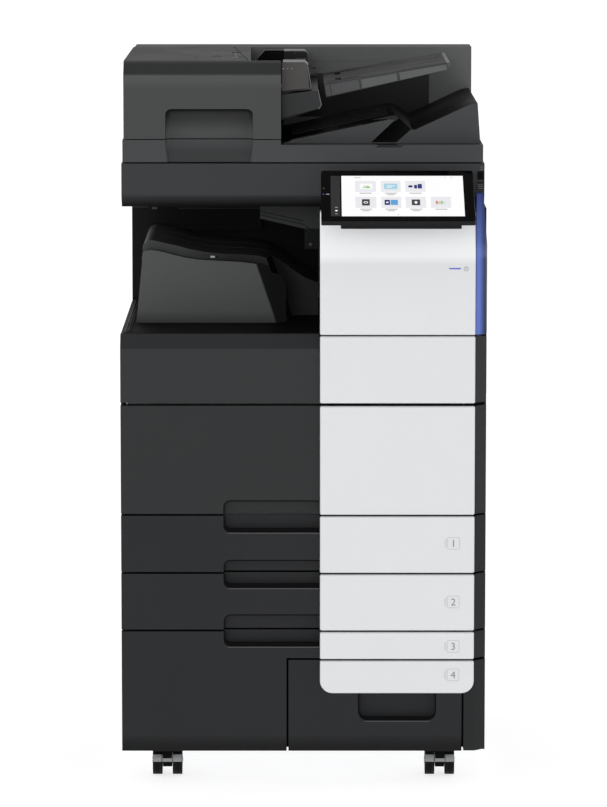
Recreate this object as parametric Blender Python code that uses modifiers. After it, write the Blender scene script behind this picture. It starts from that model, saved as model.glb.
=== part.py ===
"""Floor-standing A3 colour photocopier with document feeder and paper cabinet.

Metres, +Z up, +X to the machine's right-hand side, front faces -Y.
Origin: centre of the footprint box, on the floor.
"""
import math

import bmesh
import bpy
from mathutils import Matrix, Vector

# ---------------------------------------------------------------- dimensions
HALF_W = 0.3075            # half the body's width
D_BODY = 0.684             # front plane of the dark fronts to the outer face of the rear cover
PANEL_TILT = 25.0          # operation panel's face above the horizontal, degrees
PANEL_TOP_D = 0.002        # its upper edge, behind the front plane
PANEL_LEN = 0.1635         # its length down the slope
PROUD = 0.010              # the light panels stand this far in front of the dark fronts
FRONT_T = 0.024            # thickness of the door and drawer fronts
Z_BODY = 0.057             # underside of the cabinet
Z_34 = 0.2165              # joint lines between the fronts
Z_23 = 0.2655
Z_12 = 0.3640
Z_D1 = 0.4630
Z_UL = 0.6510
Z_DECK = 0.7680
Z_SCAN0, Z_SCAN1 = 0.9795, 1.0530
Z_ADF0, Z_ADF_SPLIT, Z_ADF1 = 1.0555, 1.0935, 1.2236
GAP = 0.0015               # half of a joint line
GAP_WIDE = 0.0025
PANEL_X0, PANEL_X1 = 0.0277, 0.2875    # light front panels
GRIP_X0, GRIP_X1 = -0.1346, 0.0277     # finger recesses
SPLIT_X = -0.0271          # between the two tandem drawers
POST_X = 0.2693            # between drawer 4 and the corner post
CASTER_X, CASTER_Y0, CASTER_Y1 = 0.2328, 0.070, 0.575
WHEEL_R, WHEEL_TRAIL = 0.025, 0.018
TRAY_LEAN = 0.338          # the exit tray's right-hand flanks lean this much per metre of height


# The operation panel overhangs the front; the footprint box is centred on the origin.
Y_FRONT = -(D_BODY + PANEL_TOP_D - math.cos(math.radians(PANEL_TILT)) * (PANEL_LEN - 0.0008)) / 2
Y_REAR = Y_FRONT + D_BODY


def Y(d):
    """World Y of a point d behind the front plane."""
    return Y_FRONT + d


# ---------------------------------------------------------------- scene setup
for ob in list(bpy.data.objects):
    bpy.data.objects.remove(ob, do_unlink=True)
PARTS = bpy.data.collections.new("photocopier")
TOOLS = bpy.data.collections.new("cutters")
bpy.context.scene.collection.children.link(PARTS)
bpy.context.scene.collection.children.link(TOOLS)


def material(name, rgb, rough, metal=0.0, alpha=1.0):
    m = bpy.data.materials.new(name)
    m.use_nodes = True
    b = m.node_tree.nodes["Principled BSDF"]
    b.inputs["Base Color"].default_value = (*rgb, 1.0)
    b.inputs["Roughness"].default_value = rough
    b.inputs["Metallic"].default_value = metal
    b.inputs["Alpha"].default_value = alpha
    m.diffuse_color = (*rgb, alpha)
    return m


DARK = material("dark_plastic", (0.045, 0.046, 0.048), 0.5)
DARKER = material("black_plastic", (0.012, 0.012, 0.013), 0.5)
WHITE = material("light_plastic", (0.74, 0.75, 0.77), 0.45)
BLUE = material("accent_plastic", (0.07, 0.12, 0.55), 0.3)
STEEL = material("zinc_steel", (0.55, 0.56, 0.58), 0.35, 1.0)
GLASS = material("glass", (0.75, 0.82, 0.82), 0.05, 0.0, 0.4)
SCREEN = material("screen_glass", (0.01, 0.01, 0.012), 0.12)
RUBBER = material("roller_rubber", (0.05, 0.05, 0.05), 0.8)
TRAYGREY = material("tray_plastic", (0.16, 0.165, 0.17), 0.6)
YELLOW = material("toner_yellow", (0.75, 0.55, 0.02), 0.4)
MAGENTA = material("toner_magenta", (0.55, 0.02, 0.18), 0.4)
CYAN = material("toner_cyan", (0.01, 0.28, 0.55), 0.4)
BLACK = material("toner_black", (0.02, 0.02, 0.02), 0.4)


# ---------------------------------------------------------------- helpers
def add(name, mesh, loc=(0, 0, 0), rot=(0, 0, 0), mat=None):
    ob = bpy.data.objects.new(name, mesh)
    ob.location = loc
    ob.rotation_euler = rot
    PARTS.objects.link(ob)
    if mat:
        mesh.materials.append(mat)
    return ob


def bevel(ob, width, seg=1, angle=40):
    m = ob.modifiers.new("bevel", "BEVEL")
    m.width, m.segments, m.limit_method = width, seg, "ANGLE"
    m.angle_limit = math.radians(angle)
    return ob


def box(name, x, y, z, mat=None, b=0.0, seg=1):
    """A box from its x, y and z spans."""
    me = bpy.data.meshes.new(name)
    bm = bmesh.new()
    size = (x[1] - x[0], y[1] - y[0], z[1] - z[0])
    bmesh.ops.create_cube(bm, size=1.0, matrix=Matrix.Diagonal((*size, 1.0)))
    bm.to_mesh(me)
    bm.free()
    ob = add(name, me, [(a[0] + a[1]) / 2 for a in (x, y, z)], mat=mat)
    if b:
        bevel(ob, b, seg)
    return ob


ROT = {"X": (0, math.pi / 2, 0), "Y": (math.pi / 2, 0, 0), "Z": (0, 0, 0)}


def cyl(name, centre, axis, r, length, seg=24, mat=None, r2=None):
    me = bpy.data.meshes.new(name)
    bm = bmesh.new()
    bmesh.ops.create_cone(bm, cap_ends=True, segments=seg, radius1=r,
                          radius2=r if r2 is None else r2, depth=length)
    bm.to_mesh(me)
    bm.free()
    ob = add(name, me, centre, ROT[axis], mat)
    me.shade_smooth()
    me.set_sharp_from_angle(angle=math.radians(35))
    return ob


def prism(name, pts, axis, span, mat=None, b=0.0, seg=1):
    """A flat outline given thickness. pts are (y, z) along X, (x, z) along Y, (x, y) along Z."""
    cu = bpy.data.curves.new(name, "CURVE")
    cu.dimensions, cu.fill_mode = "2D", "BOTH"
    cu.extrude = (span[1] - span[0]) / 2
    sp = cu.splines.new("POLY")
    sp.points.add(len(pts) - 1)
    for p, q in zip(sp.points, pts):
        p.co = (q[0], q[1], 0, 1)
    sp.use_cyclic_u = True
    cob = bpy.data.objects.new(name + "_outline", cu)
    TOOLS.objects.link(cob)
    mid = (span[0] + span[1]) / 2
    if axis == "X":
        cob.location, cob.rotation_euler = (mid, 0, 0), (math.pi / 2, 0, math.pi / 2)
    elif axis == "Y":
        cob.location, cob.rotation_euler = (0, mid, 0), (math.pi / 2, 0, 0)
    else:
        cob.location = (0, 0, mid)
    bpy.context.view_layer.update()
    dg = bpy.context.evaluated_depsgraph_get()
    me = bpy.data.meshes.new_from_object(cob.evaluated_get(dg))
    me.name = name
    me.materials.clear()
    bm = bmesh.new()
    bm.from_mesh(me)
    bmesh.ops.remove_doubles(bm, verts=bm.verts, dist=1e-5)
    bmesh.ops.dissolve_limit(bm, angle_limit=0.01, verts=bm.verts, edges=bm.edges)
    bmesh.ops.recalc_face_normals(bm, faces=bm.faces)
    bm.to_mesh(me)
    bm.free()
    ob = add(name, me, mat=mat)
    ob.matrix_world = cob.matrix_world.copy()
    bpy.data.objects.remove(cob)
    if b:
        bevel(ob, b, seg)
    return ob


def rounded(x0, x1, z0, z1, radii, n=5):
    """Outline of a rectangle whose corners (lower left, lower right, upper right, upper left) are rounded."""
    pts = []
    corners = ((x0, z0, 180), (x1, z0, 270), (x1, z1, 0), (x0, z1, 90))
    for (cx, cz, a0), r in zip(corners, radii):
        if r <= 0:
            pts.append((cx, cz))
            continue
        ox = cx + r if cx == x0 else cx - r
        oz = cz + r if cz == z0 else cz - r
        for i in range(n + 1):
            a = math.radians(a0 + 90 * i / n)
            pts.append((ox + r * math.cos(a), oz + r * math.sin(a)))
    return pts


def arc(cx, cz, r, a0, a1, n):
    return [(cx + r * math.cos(math.radians(a0 + (a1 - a0) * i / n)),
             cz + r * math.sin(math.radians(a0 + (a1 - a0) * i / n))) for i in range(n + 1)]


def leaning(name, pts, za, zb):
    """A solid with a plan outline (x, y) at deck height, whose walls lean to the left as they rise."""
    me = bpy.data.meshes.new(name)
    bm = bmesh.new()
    low, high = ([bm.verts.new((x - TRAY_LEAN * (z - Z_DECK), y, z)) for x, y in pts] for z in (za, zb))
    bm.faces.new(low)
    bm.faces.new(high[::-1])
    for i in range(len(pts)):
        j = (i + 1) % len(pts)
        bm.faces.new((low[i], low[j], high[j], high[i]))
    bmesh.ops.recalc_face_normals(bm, faces=bm.faces)
    bm.to_mesh(me)
    bm.free()
    return add(name, me)


def helper(ob):
    ob.hide_render = True
    ob.display_type = "WIRE"
    if ob.name in PARTS.objects:
        PARTS.objects.unlink(ob)
        TOOLS.objects.link(ob)
    return ob


def boolean(ob, other, op):
    m = ob.modifiers.new(op.lower(), "BOOLEAN")
    m.operation, m.object, m.solver = op, helper(other), "EXACT"
    return ob


def cut(ob, *others):
    for o in others:
        boolean(ob, o, "DIFFERENCE")
    return ob


def join(ob, *others):
    for o in others:
        boolean(ob, o, "UNION")
    return ob


def keep(ob, other):
    return boolean(ob, other, "INTERSECT")


def pivot(name, pos):
    """An empty on a joint's axis. The pieces of the moving body are parented to it."""
    e = bpy.data.objects.new(name, None)
    e.empty_display_size = 0.03
    e.location = pos
    PARTS.objects.link(e)
    return e


def attach(empty, *obs):
    bpy.context.view_layer.update()
    inv = Matrix.Translation(-Vector(empty.location))
    done = set()
    for ob in obs:
        group = [ob] + [m.object for m in ob.modifiers if m.type == "BOOLEAN"]
        for o in group:
            if o.name in done or o.parent:
                continue
            done.add(o.name)
            basis = o.matrix_basis.copy()
            o.parent = empty
            o.matrix_basis = inv @ basis
    return empty


# ================================================================ chassis
base_pan = box("base_pan", (-0.3000, 0.2990), (Y(0.030), Y(0.675)), (0.0600, 0.0690), STEEL)
cut(base_pan, box("base_pan_well", (-0.2960, 0.2950), (Y(0.034), Y(0.671)), (0.0630, 0.0800)))

# Welded sheet frame: two side walls, rear wall, four decks, and the uprights that carry the scanner.
FX0, FX1, FY0, FY1 = -0.2990, 0.2720, Y(0.032), Y(0.625)
main_frame = box("main_frame", (FX0, FX1), (FY0, FY1), (0.0700, 0.7620), STEEL)
for i, (za, zb) in enumerate(((0.0730, 0.2555), (0.2585, 0.4530), (0.4560, 0.7590))):
    cut(main_frame, box(f"frame_bay_{i}", (FX0 + 0.003, FX1 - 0.003), (Y(-0.05), FY1 - 0.003), (za, zb)))
for i, z in enumerate((0.2025, 0.3445, 0.4425)):
    join(main_frame, box(f"frame_rail_right_{i}", (FX1 - 0.0096, FX1 - 0.0020), (Y(0.040), Y(0.560)), (z - 0.003, z)))
for i, z in enumerate((0.2445, 0.3445, 0.4425)):
    join(main_frame, box(f"frame_rail_left_{i}", (FX0 + 0.0020, FX0 + 0.0090), (Y(0.040), Y(0.560)), (z - 0.003, z)))
join(main_frame,
     box("frame_rear_upright", (-0.2700, FX1), (FY1 - 0.003, FY1 + 0.0001), (0.7600, 0.9765)),
     box("frame_right_upright", (FX1 - 0.003, FX1 + 0.0001), (Y(0.060), FY1 - 0.001), (0.7600, 0.9765)),
     box("frame_column_wall", (0.0340, 0.0370), (Y(0.060), FY1 - 0.001), (0.7600, 0.9765)))
cut(main_frame, box("frame_path_window", (FX1 - 0.02, FX1 + 0.02), (Y(0.100), Y(0.500)), (0.2750, 0.4400)),
    box("frame_fuser_window", (FX1 - 0.02, FX1 + 0.02), (Y(0.100), Y(0.500)), (0.4700, 0.9300)),
    box("frame_exit_slot", (0.0200, 0.0500), (Y(0.180), Y(0.500)), (0.8800, 0.9150)))

left_cover = prism("left_cover", [(Y(0.026), 0.0580), (Y(D_BODY - 0.001), 0.0580), (Y(D_BODY - 0.001), 0.7660), (Y(0.026), 0.7660)],
                   "X", (-HALF_W, -0.3035), DARK)
for i in range(6):
    cut(left_cover, box(f"left_vent_{i}", (-0.32, -0.30), (Y(0.40), Y(0.58)), (0.600 + 0.016 * i, 0.607 + 0.016 * i)))

right_cover = prism("right_cover", [(Y(0.0165), Z_34 - GAP), (Y(0.0165), 0.0580), (Y(D_BODY - 0.001), 0.0580), (Y(D_BODY - 0.001), 0.9765), (Y(0.052), 0.9765),
                                    (Y(0.052), 0.7680), (Y(0.026), 0.7680), (Y(0.026), Z_34 - GAP)], "X", (0.3035, HALF_W), DARK)
cut(right_cover, box("right_door_opening", (0.29, 0.32), (Y(0.072), Y(0.523)), (0.2670, 0.9430)))
join(right_cover, prism("corner_post", [(POST_X + GAP, Y(0.0)), (0.2895, Y(0.0)), (0.3060, Y(0.0155)),
                                        (0.3060, Y(0.0300)), (POST_X + GAP, Y(0.0300))], "Z", (0.0590, Z_34 - GAP - 0.0010)))

rear_cover = box("rear_cover", (-0.3030, 0.3030), (Y_REAR - 0.0045, Y_REAR), (0.0580, 0.9765), DARK, 0.002)
for i in range(7):
    cut(rear_cover, box(f"rear_vent_{i}", (-0.22, -0.06), (Y_REAR - 0.02, Y_REAR + 0.01), (0.640 + 0.018 * i, 0.648 + 0.018 * i)))
join(rear_cover, box("power_inlet_back", (0.2010, 0.2400), (Y_REAR - 0.0220, Y_REAR - 0.0040), (0.1060, 0.1380)))
cut(rear_cover, prism("power_inlet_recess", [(0.2070, 0.1120), (0.2340, 0.1120), (0.2340, 0.1260), (0.2290, 0.1320), (0.2120, 0.1320), (0.2070, 0.1260)],
                      "Y", (Y_REAR - 0.0180, Y_REAR + 0.01)),
    box("data_socket_recess", (-0.2350, -0.1850), (Y_REAR - 0.0030, Y_REAR + 0.01), (0.420, 0.480)))
for x, z in ((0.2130, 0.1200), (0.2280, 0.1200), (0.2205, 0.1260)):
    join(rear_cover, box(f"power_inlet_pin_{x}", (x - 0.0010, x + 0.0010), (Y_REAR - 0.0190, Y_REAR - 0.0040), (z - 0.0025, z + 0.0025)))

# Moulded liner of the paper exit bay: deck, rear wall, left column and the beam under the scanner.
bay_liner = box("bay_liner", (-0.3030, 0.0265), (Y(0.026), Y(0.5650)), (0.7640, Z_DECK), DARKER)
join(bay_liner,
     box("bay_rear_wall", (-0.2900, 0.0265), (Y(0.5600), Y(0.5650)), (0.7650, 0.9765)),
     box("bay_left_column", (-HALF_W, -0.2715), (Y(0.5605), Y(D_BODY - 0.0055)), (0.7670, 0.9765)),
     box("bay_beam", (-0.2770, -0.0750), (Y(0.5200), Y(0.5620)), (0.8970, 0.9765)))

# Paper exit tray: a hollow moulding. A groove parts its front lip from the paper surface, which
# curves up to the left. The right half stands further back, and the flanks beside it lean.
LIP = [(-0.2760, 0.8740)] + arc(-0.2620, 0.8790, 0.0145, 175, 80, 6) + \
      [(-0.2471, 0.8918), (-0.2250, 0.8860), (-0.2010, 0.8802), (-0.1770, 0.8767), (-0.1400, 0.8748), (-0.1086, 0.8730),
       (-0.0830, 0.8700), (-0.0590, 0.8660), (-0.0420, 0.8600)]
BED = [(-0.2760, 0.8870)] + arc(-0.2620, 0.8925, 0.0145, 175, 80, 6) + \
      [(-0.2450, 0.9035), (-0.2200, 0.8980), (-0.1950, 0.8915), (-0.1700, 0.8865), (-0.1400, 0.8835), (-0.1000, 0.8820),
       (-0.0750, 0.8795), (-0.0560, 0.8740), (-0.0400, 0.8645), (-0.0250, 0.8530), (-0.0110, 0.8420), (0.0050, 0.8320), (0.0255, 0.8250)]
Z_FOOT = Z_DECK + 0.0003
output_tray = prism("output_tray", [(-0.2861, Z_FOOT)] + LIP + [(-0.0300, 0.8400), (-0.0300, Z_FOOT)], "Y", (Y(0.1780), Y(0.2180)), DARK)
keep(output_tray, leaning("lip_plan", [(-0.30, Y(0.1700)), (-0.0566, Y(0.1700)), (0.0231, Y(0.2400)), (-0.30, Y(0.2400))], 0.75, 0.92))
join(output_tray, prism("tray_bed", [(-0.2861, Z_FOOT)] + BED + [(0.0255, Z_FOOT)], "Y", (Y(0.2140), Y(0.5150))))
cut(output_tray,
    leaning("bed_plan", [(-0.0275, Y(0.2100)), (-0.0195, Y(0.2900)), (0.0030, Y(0.3000)), (0.0900, Y(0.3000)), (0.0900, Y(0.2100))], 0.75, 0.92),
    prism("tray_groove", [(x + 0.006 if x < -0.25 else x, z - 0.0120) for x, z in LIP] + [(-0.02, 0.8450), (-0.02, 0.95), (-0.2700, 0.95)],
          "Y", (Y(0.1960), Y(0.2140))),
    prism("bed_hollow", [(x + 0.005 if x < -0.25 else x, z - 0.0050) for x, z in BED[:-1]] + [(0.0205, 0.8200), (0.0205, 0.76), (-0.2800, 0.76)],
          "Y", (Y(0.3040), Y(0.60))))

exit_unit = prism("exit_unit", [(-0.0740, 0.9765), (-0.0740, 0.9500), (0.0000, 0.9330), (0.0250, 0.9140),
                                (0.0250, 0.8350), (0.0315, 0.8350), (0.0315, 0.9765)], "Y", (Y(0.1500), Y(0.5580)), DARK)
for side, d in (("front", 0.1700), ("rear", 0.5200)):
    join(exit_unit, box(f"roller_lug_{side}", (0.0020, 0.0260), (Y(d), Y(d + 0.004)), (0.8960, 0.9320)))
cut(exit_unit, cyl("roller_bore", (0.0120, Y(0.345), 0.9045), "Y", 0.0033, 0.40, 16),
    box("exit_slot", (0.0200, 0.0400), (Y(0.190), Y(0.500)), (0.8860, 0.9060)))

exit_roller = cyl("exit_roller", (0.0120, Y(0.3470), 0.9045), "Y", 0.0080, 0.3300, 20, RUBBER)
join(exit_roller, cyl("exit_shaft", (0.0120, Y(0.3470), 0.9045), "Y", 0.0030, 0.3620, 16))

front_right_cover = prism("front_right_cover", [(Y(-PROUD), Z_DECK + 0.001), (Y(-PROUD), 0.9040), (Y(-0.0095), 0.9080), (Y(-0.0055), 0.9755),
                                                (Y(0.026), 0.9755), (Y(0.026), Z_DECK + 0.001)], "X", (PANEL_X0, PANEL_X1), WHITE)
bevel(front_right_cover, 0.0015, 1, 50)
cut(front_right_cover,
    box("cover_hollow", (PANEL_X0 + 0.003, PANEL_X1 - 0.003), (Y(-0.0025), Y(0.04)), (Z_DECK + 0.004, 0.9725)),
    cyl("button_bore", (0.2715, Y(-PROUD), 0.8800), "Y", 0.0036, 0.02, 20))

accent_strip = prism("accent_strip", [(0.2885, Y(0.0250)), (0.2885, Y(-0.0085))] +
                     [(0.2885 + 0.019 * math.sin(math.radians(a)), Y(0.0115 - 0.020 * math.cos(math.radians(a)))) for a in (15, 30, 45, 60, 75, 90)] +
                     [(HALF_W, Y(0.0250))], "Z", (Z_DECK + 0.0015, 1.0060), BLUE)
cut(accent_strip, prism("strip_taper", [(0.3120, 0.915), (HALF_W + 0.0002, 0.9150), (0.3005, 0.9950), (0.2990, 1.0200), (0.3120, 1.0200)],
                        "Y", (Y(-0.05), Y(0.05))))

power_button = cyl("power_button", (0.2715, Y(-0.0075), 0.8800), "Y", 0.0032, 0.0060, 20, WHITE)

# Inner front plate behind the doors, with the four toner mouths.
inner_front_panel = box("inner_front_panel", (-0.2950, 0.2680), (Y(0.0330), Y(0.0360)), (0.4575, 0.7575), TRAYGREY)
TONER_X = (-0.2150, -0.1150, -0.0150, 0.1000)
for i, x in enumerate(TONER_X):
    cut(inner_front_panel, cyl(f"toner_mouth_{i}", (x, Y(0.0345), 0.7020), "Y", 0.0380, 0.03, 24))
cut(inner_front_panel, box("imaging_window", (-0.2700, 0.2000), (Y(0.02), Y(0.05)), (0.5250, 0.6350)))

toner = []
for x, colour, mat in zip(TONER_X, ("yellow", "magenta", "cyan", "black"), (YELLOW, MAGENTA, CYAN, BLACK)):
    b = cyl(f"toner_bottle_{colour}", (x, Y(0.1970), 0.7020), "Y", 0.0360, 0.3300, 24, mat)
    join(b, box(f"toner_grip_{colour}", (x - 0.0040, x + 0.0040), (Y(0.0260), Y(0.0330)), (0.6720, 0.7320)))
    attach(pivot(f"toner_{colour}_axis", (x, Y(0.0330), 0.7020)), b)
    toner.append(b)

transfer_belt_unit = prism("transfer_belt_unit", arc(-0.2200, 0.6180, 0.0140, 90, 270, 6) + arc(0.1700, 0.6180, 0.0140, -90, 90, 6),
                           "Y", (Y(0.0400), Y(0.5000)), BLACK)
fuser_roller = cyl("fuser_roller", (0.2120, Y(0.3000), 0.8300), "Y", 0.0190, 0.3800, 24, RUBBER)
join(fuser_roller, cyl("fuser_shaft", (0.2120, Y(0.3180), 0.8300), "Y", 0.0050, 0.5580, 16))
cut(main_frame, cyl("fuser_bearing_rear", (0.2120, FY1, 0.8300), "Y", 0.0053, 0.02, 16))

# ================================================================ scanner
SX0, SX1 = -0.3050, 0.3030
scanner_housing = prism("scanner_housing", [(Y(0.048), Z_SCAN0), (Y(0.660), Z_SCAN0), (Y(0.660), Z_SCAN1),
                                            (Y(0.030), Z_SCAN1), (Y(0.030), 0.9990)], "X", (SX0, SX1), DARK)
cut(scanner_housing,
    box("scanner_hollow", (SX0 + 0.004, SX1 - 0.004), (Y(0.052), Y(0.656)), (Z_SCAN0 + 0.004, Z_SCAN1 - 0.0035)),
    box("platen_window", (-0.2080, 0.2420), (Y(0.120), Y(0.430)), (1.03, 1.07)),
    box("slit_window", (-0.2460, -0.2200), (Y(0.120), Y(0.430)), (1.03, 1.07)))
join(scanner_housing, cyl("carriage_rail", (0, Y(0.480), 1.0080), "X", 0.0050, 0.6060, 12))
platen_glass = box("platen_glass", (-0.2076, 0.2416), (Y(0.1204), Y(0.4296)), (1.0493, 1.0525), GLASS)
scan_carriage = box("scan_carriage", (-0.2480, -0.2180), (Y(0.0900), Y(0.5000)), (1.0000, 1.0440), DARKER)
cut(scan_carriage, cyl("rail_bore", (-0.23, Y(0.480), 1.0080), "X", 0.0054, 0.10, 16),
    box("lamp_trough", (-0.2400, -0.2260), (Y(0.1100), Y(0.4400)), (1.0360, 1.06)))

# ================================================================ operation panel
PA = math.radians(PANEL_TILT)
P_TOP = Vector((Y(PANEL_TOP_D), 1.0440))
P_DIR = Vector((-math.cos(PA), -math.sin(PA)))
P_NRM = Vector((-math.sin(PA), math.cos(PA)))
P_LEN = PANEL_LEN
P_AXIS = (Y(-0.0180), 1.0080)
PX0, PX1 = 0.0290, 0.2825


def on_panel(s, t):
    """(y, z) of the point s down the panel's face and t above it."""
    p = P_TOP + P_DIR * s + P_NRM * t
    return (p.x, p.y)


panel_housing = prism("panel_housing", [on_panel(0.0, -0.0030), on_panel(P_LEN, -0.0030), on_panel(P_LEN + 0.0012, -0.0060),
                                        on_panel(P_LEN, -0.0110), on_panel(P_LEN - 0.006, -0.0130), on_panel(0.004, -0.0150),
                                        on_panel(0.0, -0.0110)], "X", (PX0, PX1), DARKER)
join(panel_housing,
     prism("panel_back_box", [on_panel(0.035, -0.010), on_panel(P_LEN - 0.012, -0.010), on_panel(P_LEN - 0.016, -0.0175),
                              on_panel(0.045, -0.0235)], "X", (0.0600, 0.2500)),
     prism("panel_knuckle", [on_panel(0.004, -0.012), on_panel(0.044, -0.012), (P_AXIS[0] - 0.0075, P_AXIS[1] - 0.003),
                             (P_AXIS[0] - 0.003, P_AXIS[1] - 0.0075), (P_AXIS[0] + 0.003, P_AXIS[1] - 0.0075),
                             (P_AXIS[0] + 0.0075, P_AXIS[1] - 0.003)], "X", (0.1100, 0.2000)))
cut(panel_housing, cyl("panel_bore", (0.155, P_AXIS[0], P_AXIS[1]), "X", 0.0033, 0.14, 16))
touch_screen = prism("touch_screen", [on_panel(0.0008, 0.0), on_panel(P_LEN - 0.0008, 0.0), on_panel(P_LEN - 0.0008, -0.0026),
                                      on_panel(0.0008, -0.0026)], "X", (PX0 + 0.0008, PX1 - 0.0008), SCREEN)
panel_bracket = box("panel_bracket", (0.0980, 0.2120), (Y(0.0050), Y(0.0297)), (0.9860, 1.0240), DARKER, 0.001)
for side, x in (("left", 0.0990), ("right", 0.2030)):
    join(panel_bracket, prism(f"bracket_ear_{side}", [(Y(0.0080), 0.9880), (Y(0.0080), 1.0230), (P_AXIS[0] + 0.002, P_AXIS[1] + 0.0060),
                                                      (P_AXIS[0] - 0.0060, P_AXIS[1] + 0.002), (P_AXIS[0] - 0.0060, P_AXIS[1] - 0.004),
                                                      (P_AXIS[0] - 0.002, P_AXIS[1] - 0.0080)], "X", (x, x + 0.008)))
join(panel_bracket, cyl("panel_hinge_pin", (0.155, P_AXIS[0], P_AXIS[1]), "X", 0.0030, 0.1100, 16))
attach(pivot("panel_axis", (0.155, *P_AXIS)), panel_housing, touch_screen)


# ================================================================ doors and drawers
def front_outline(x0=-HALF_W, right=True):
    """Plan outline of a dark front, with the splayed right-hand edge when it reaches the side."""
    left = [(x0 + 0.0030, Y(0.0)), (x0, Y(0.0030)), (x0, Y(FRONT_T))] if x0 == -HALF_W else [(x0, Y(0.0)), (x0, Y(FRONT_T))]
    rgt = [(HALF_W, Y(FRONT_T)), (HALF_W, Y(0.0180)), (0.2895, Y(0.0))]
    return left + rgt


def light_panel(name, z0, z1, radii=(0, 0, 0, 0)):
    return prism(name, rounded(PANEL_X0, PANEL_X1, z0, z1, radii, 6), "Y", (Y(-PROUD), Y(-0.0003)), WHITE, 0.0018)


def grip_cutter(name, z0, z1, depth=0.0190):
    return prism(name, rounded(GRIP_X0, GRIP_X1, z0, z1, (0.011, 0, 0, 0.011), 4), "Y", (Y(-0.02), Y(depth)))


# Upper door: drops forward on a hinge along its lower edge. Its top is chamfered.
UD0, UD1 = Z_UL + GAP_WIDE, Z_DECK - 0.0005
upper_front_door = prism("upper_front_door", front_outline(), "Z", (UD0, UD1), DARK)
cut(upper_front_door,
    prism("door_chamfer", [(Y(-0.01), 0.7300), (Y(0.0), 0.7430), (Y(0.0008), 0.7455), (Y(0.0200), 0.7675), (Y(0.0200), 0.79), (Y(-0.01), 0.79)],
          "X", (-0.33, PANEL_X0 + 0.0005)),
    box("upper_door_hollow", (-0.3020, 0.2860), (Y(0.0040), Y(0.05)), (UD0 + 0.0200, 0.7400)),
    box("upper_door_heel", (-0.33, 0.33), (Y(0.0160), Y(0.05)), (0.60, UD0 + 0.0140)),
    prism("upper_door_relief", [(Y(0.0040), UD1 + 0.0001), (Y(0.0300), UD1 - 0.0078), (Y(0.0300), UD1 + 0.02), (Y(0.0040), UD1 + 0.02)],
          "X", (PANEL_X0 - 0.0015, 0.33)))
upper_door_panel = light_panel("upper_door_panel", UD0, UD1 - 0.0010)
attach(pivot("upper_door_axis", (0, Y(0.0030), UD0 + 0.0140)), upper_front_door, upper_door_panel)

# Lower door over the imaging section, hinged along its left edge.
LD0, LD1 = Z_D1 + GAP, Z_UL - GAP_WIDE
lower_front_door = prism("lower_front_door", front_outline(), "Z", (LD0, LD1), DARK)
cut(lower_front_door,
    box("lower_door_hollow", (-0.3020, 0.2860), (Y(0.0040), Y(0.05)), (LD0 + 0.0300, LD1 - 0.0040)),
    grip_cutter("grip_1_upper", 0.4331, 0.4876, 0.0160))
lower_door_panel = light_panel("lower_door_panel", LD0, LD1)
attach(pivot("lower_door_axis", (-0.3035, Y(0.0040), (LD0 + LD1) / 2)), lower_front_door, lower_door_panel)


def drawer(n, z0, z1, bx, bz, grip, prev_grip=None):
    """Drawer with its front, open box and the finger recess at its top edge. prev_grip is the recess of the drawer below, part of which bites into this front."""
    d = prism(f"tray_{n}", front_outline(), "Z", (z0, z1), DARK)
    join(d, box(f"tray_{n}_box", bx, (Y(0.0200), Y(0.5300)), bz),
         box(f"tray_{n}_flange", (bx[0] - 0.0060, bx[1] + 0.0060), (Y(0.0300), Y(0.5300)), (bz[1] - 0.0050, bz[1] - 0.0020)))
    cut(d, box(f"tray_{n}_inside", (bx[0] + 0.003, bx[1] - 0.003), (Y(FRONT_T), Y(0.5270)), (bz[0] + 0.003, bz[1] + 0.05)))
    cut(d, grip_cutter(f"grip_{n}", *grip))
    cut(d, box(f"grip_{n}_hook", (GRIP_X0 + 0.010, GRIP_X1 - 0.004), (Y(0.0080), Y(0.0190)), (grip[0] - 0.012, grip[0] + 0.008)))
    if prev_grip:
        cut(d, grip_cutter(f"grip_{n}_lower_neighbour", prev_grip[0], prev_grip[1], 0.0160))
    return d


G1, G2, G3 = (0.4331, 0.4876), (0.3383, 0.3862), (0.2381, 0.2929)
tray_1 = drawer(1, Z_12 + GAP, Z_D1 - GAP, (-0.2870, 0.2600), (0.3700, 0.4480), G1, G2)
tray_2 = drawer(2, Z_23 + GAP, Z_12 - GAP, (-0.2870, 0.2600), (0.2720, 0.3500), G2, G3)
tray_1_panel = light_panel("tray_1_panel", Z_12 + GAP, Z_D1 - GAP)
tray_2_panel = light_panel("tray_2_panel", Z_23 + GAP, Z_12 - GAP)
tray_1_lift = box("tray_1_lift", (-0.2000, 0.2500), (Y(0.0600), Y(0.4700)), (0.3760, 0.3780), STEEL)
tray_2_lift = box("tray_2_lift", (-0.2000, 0.2500), (Y(0.0600), Y(0.4700)), (0.2780, 0.2800), STEEL)

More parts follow.
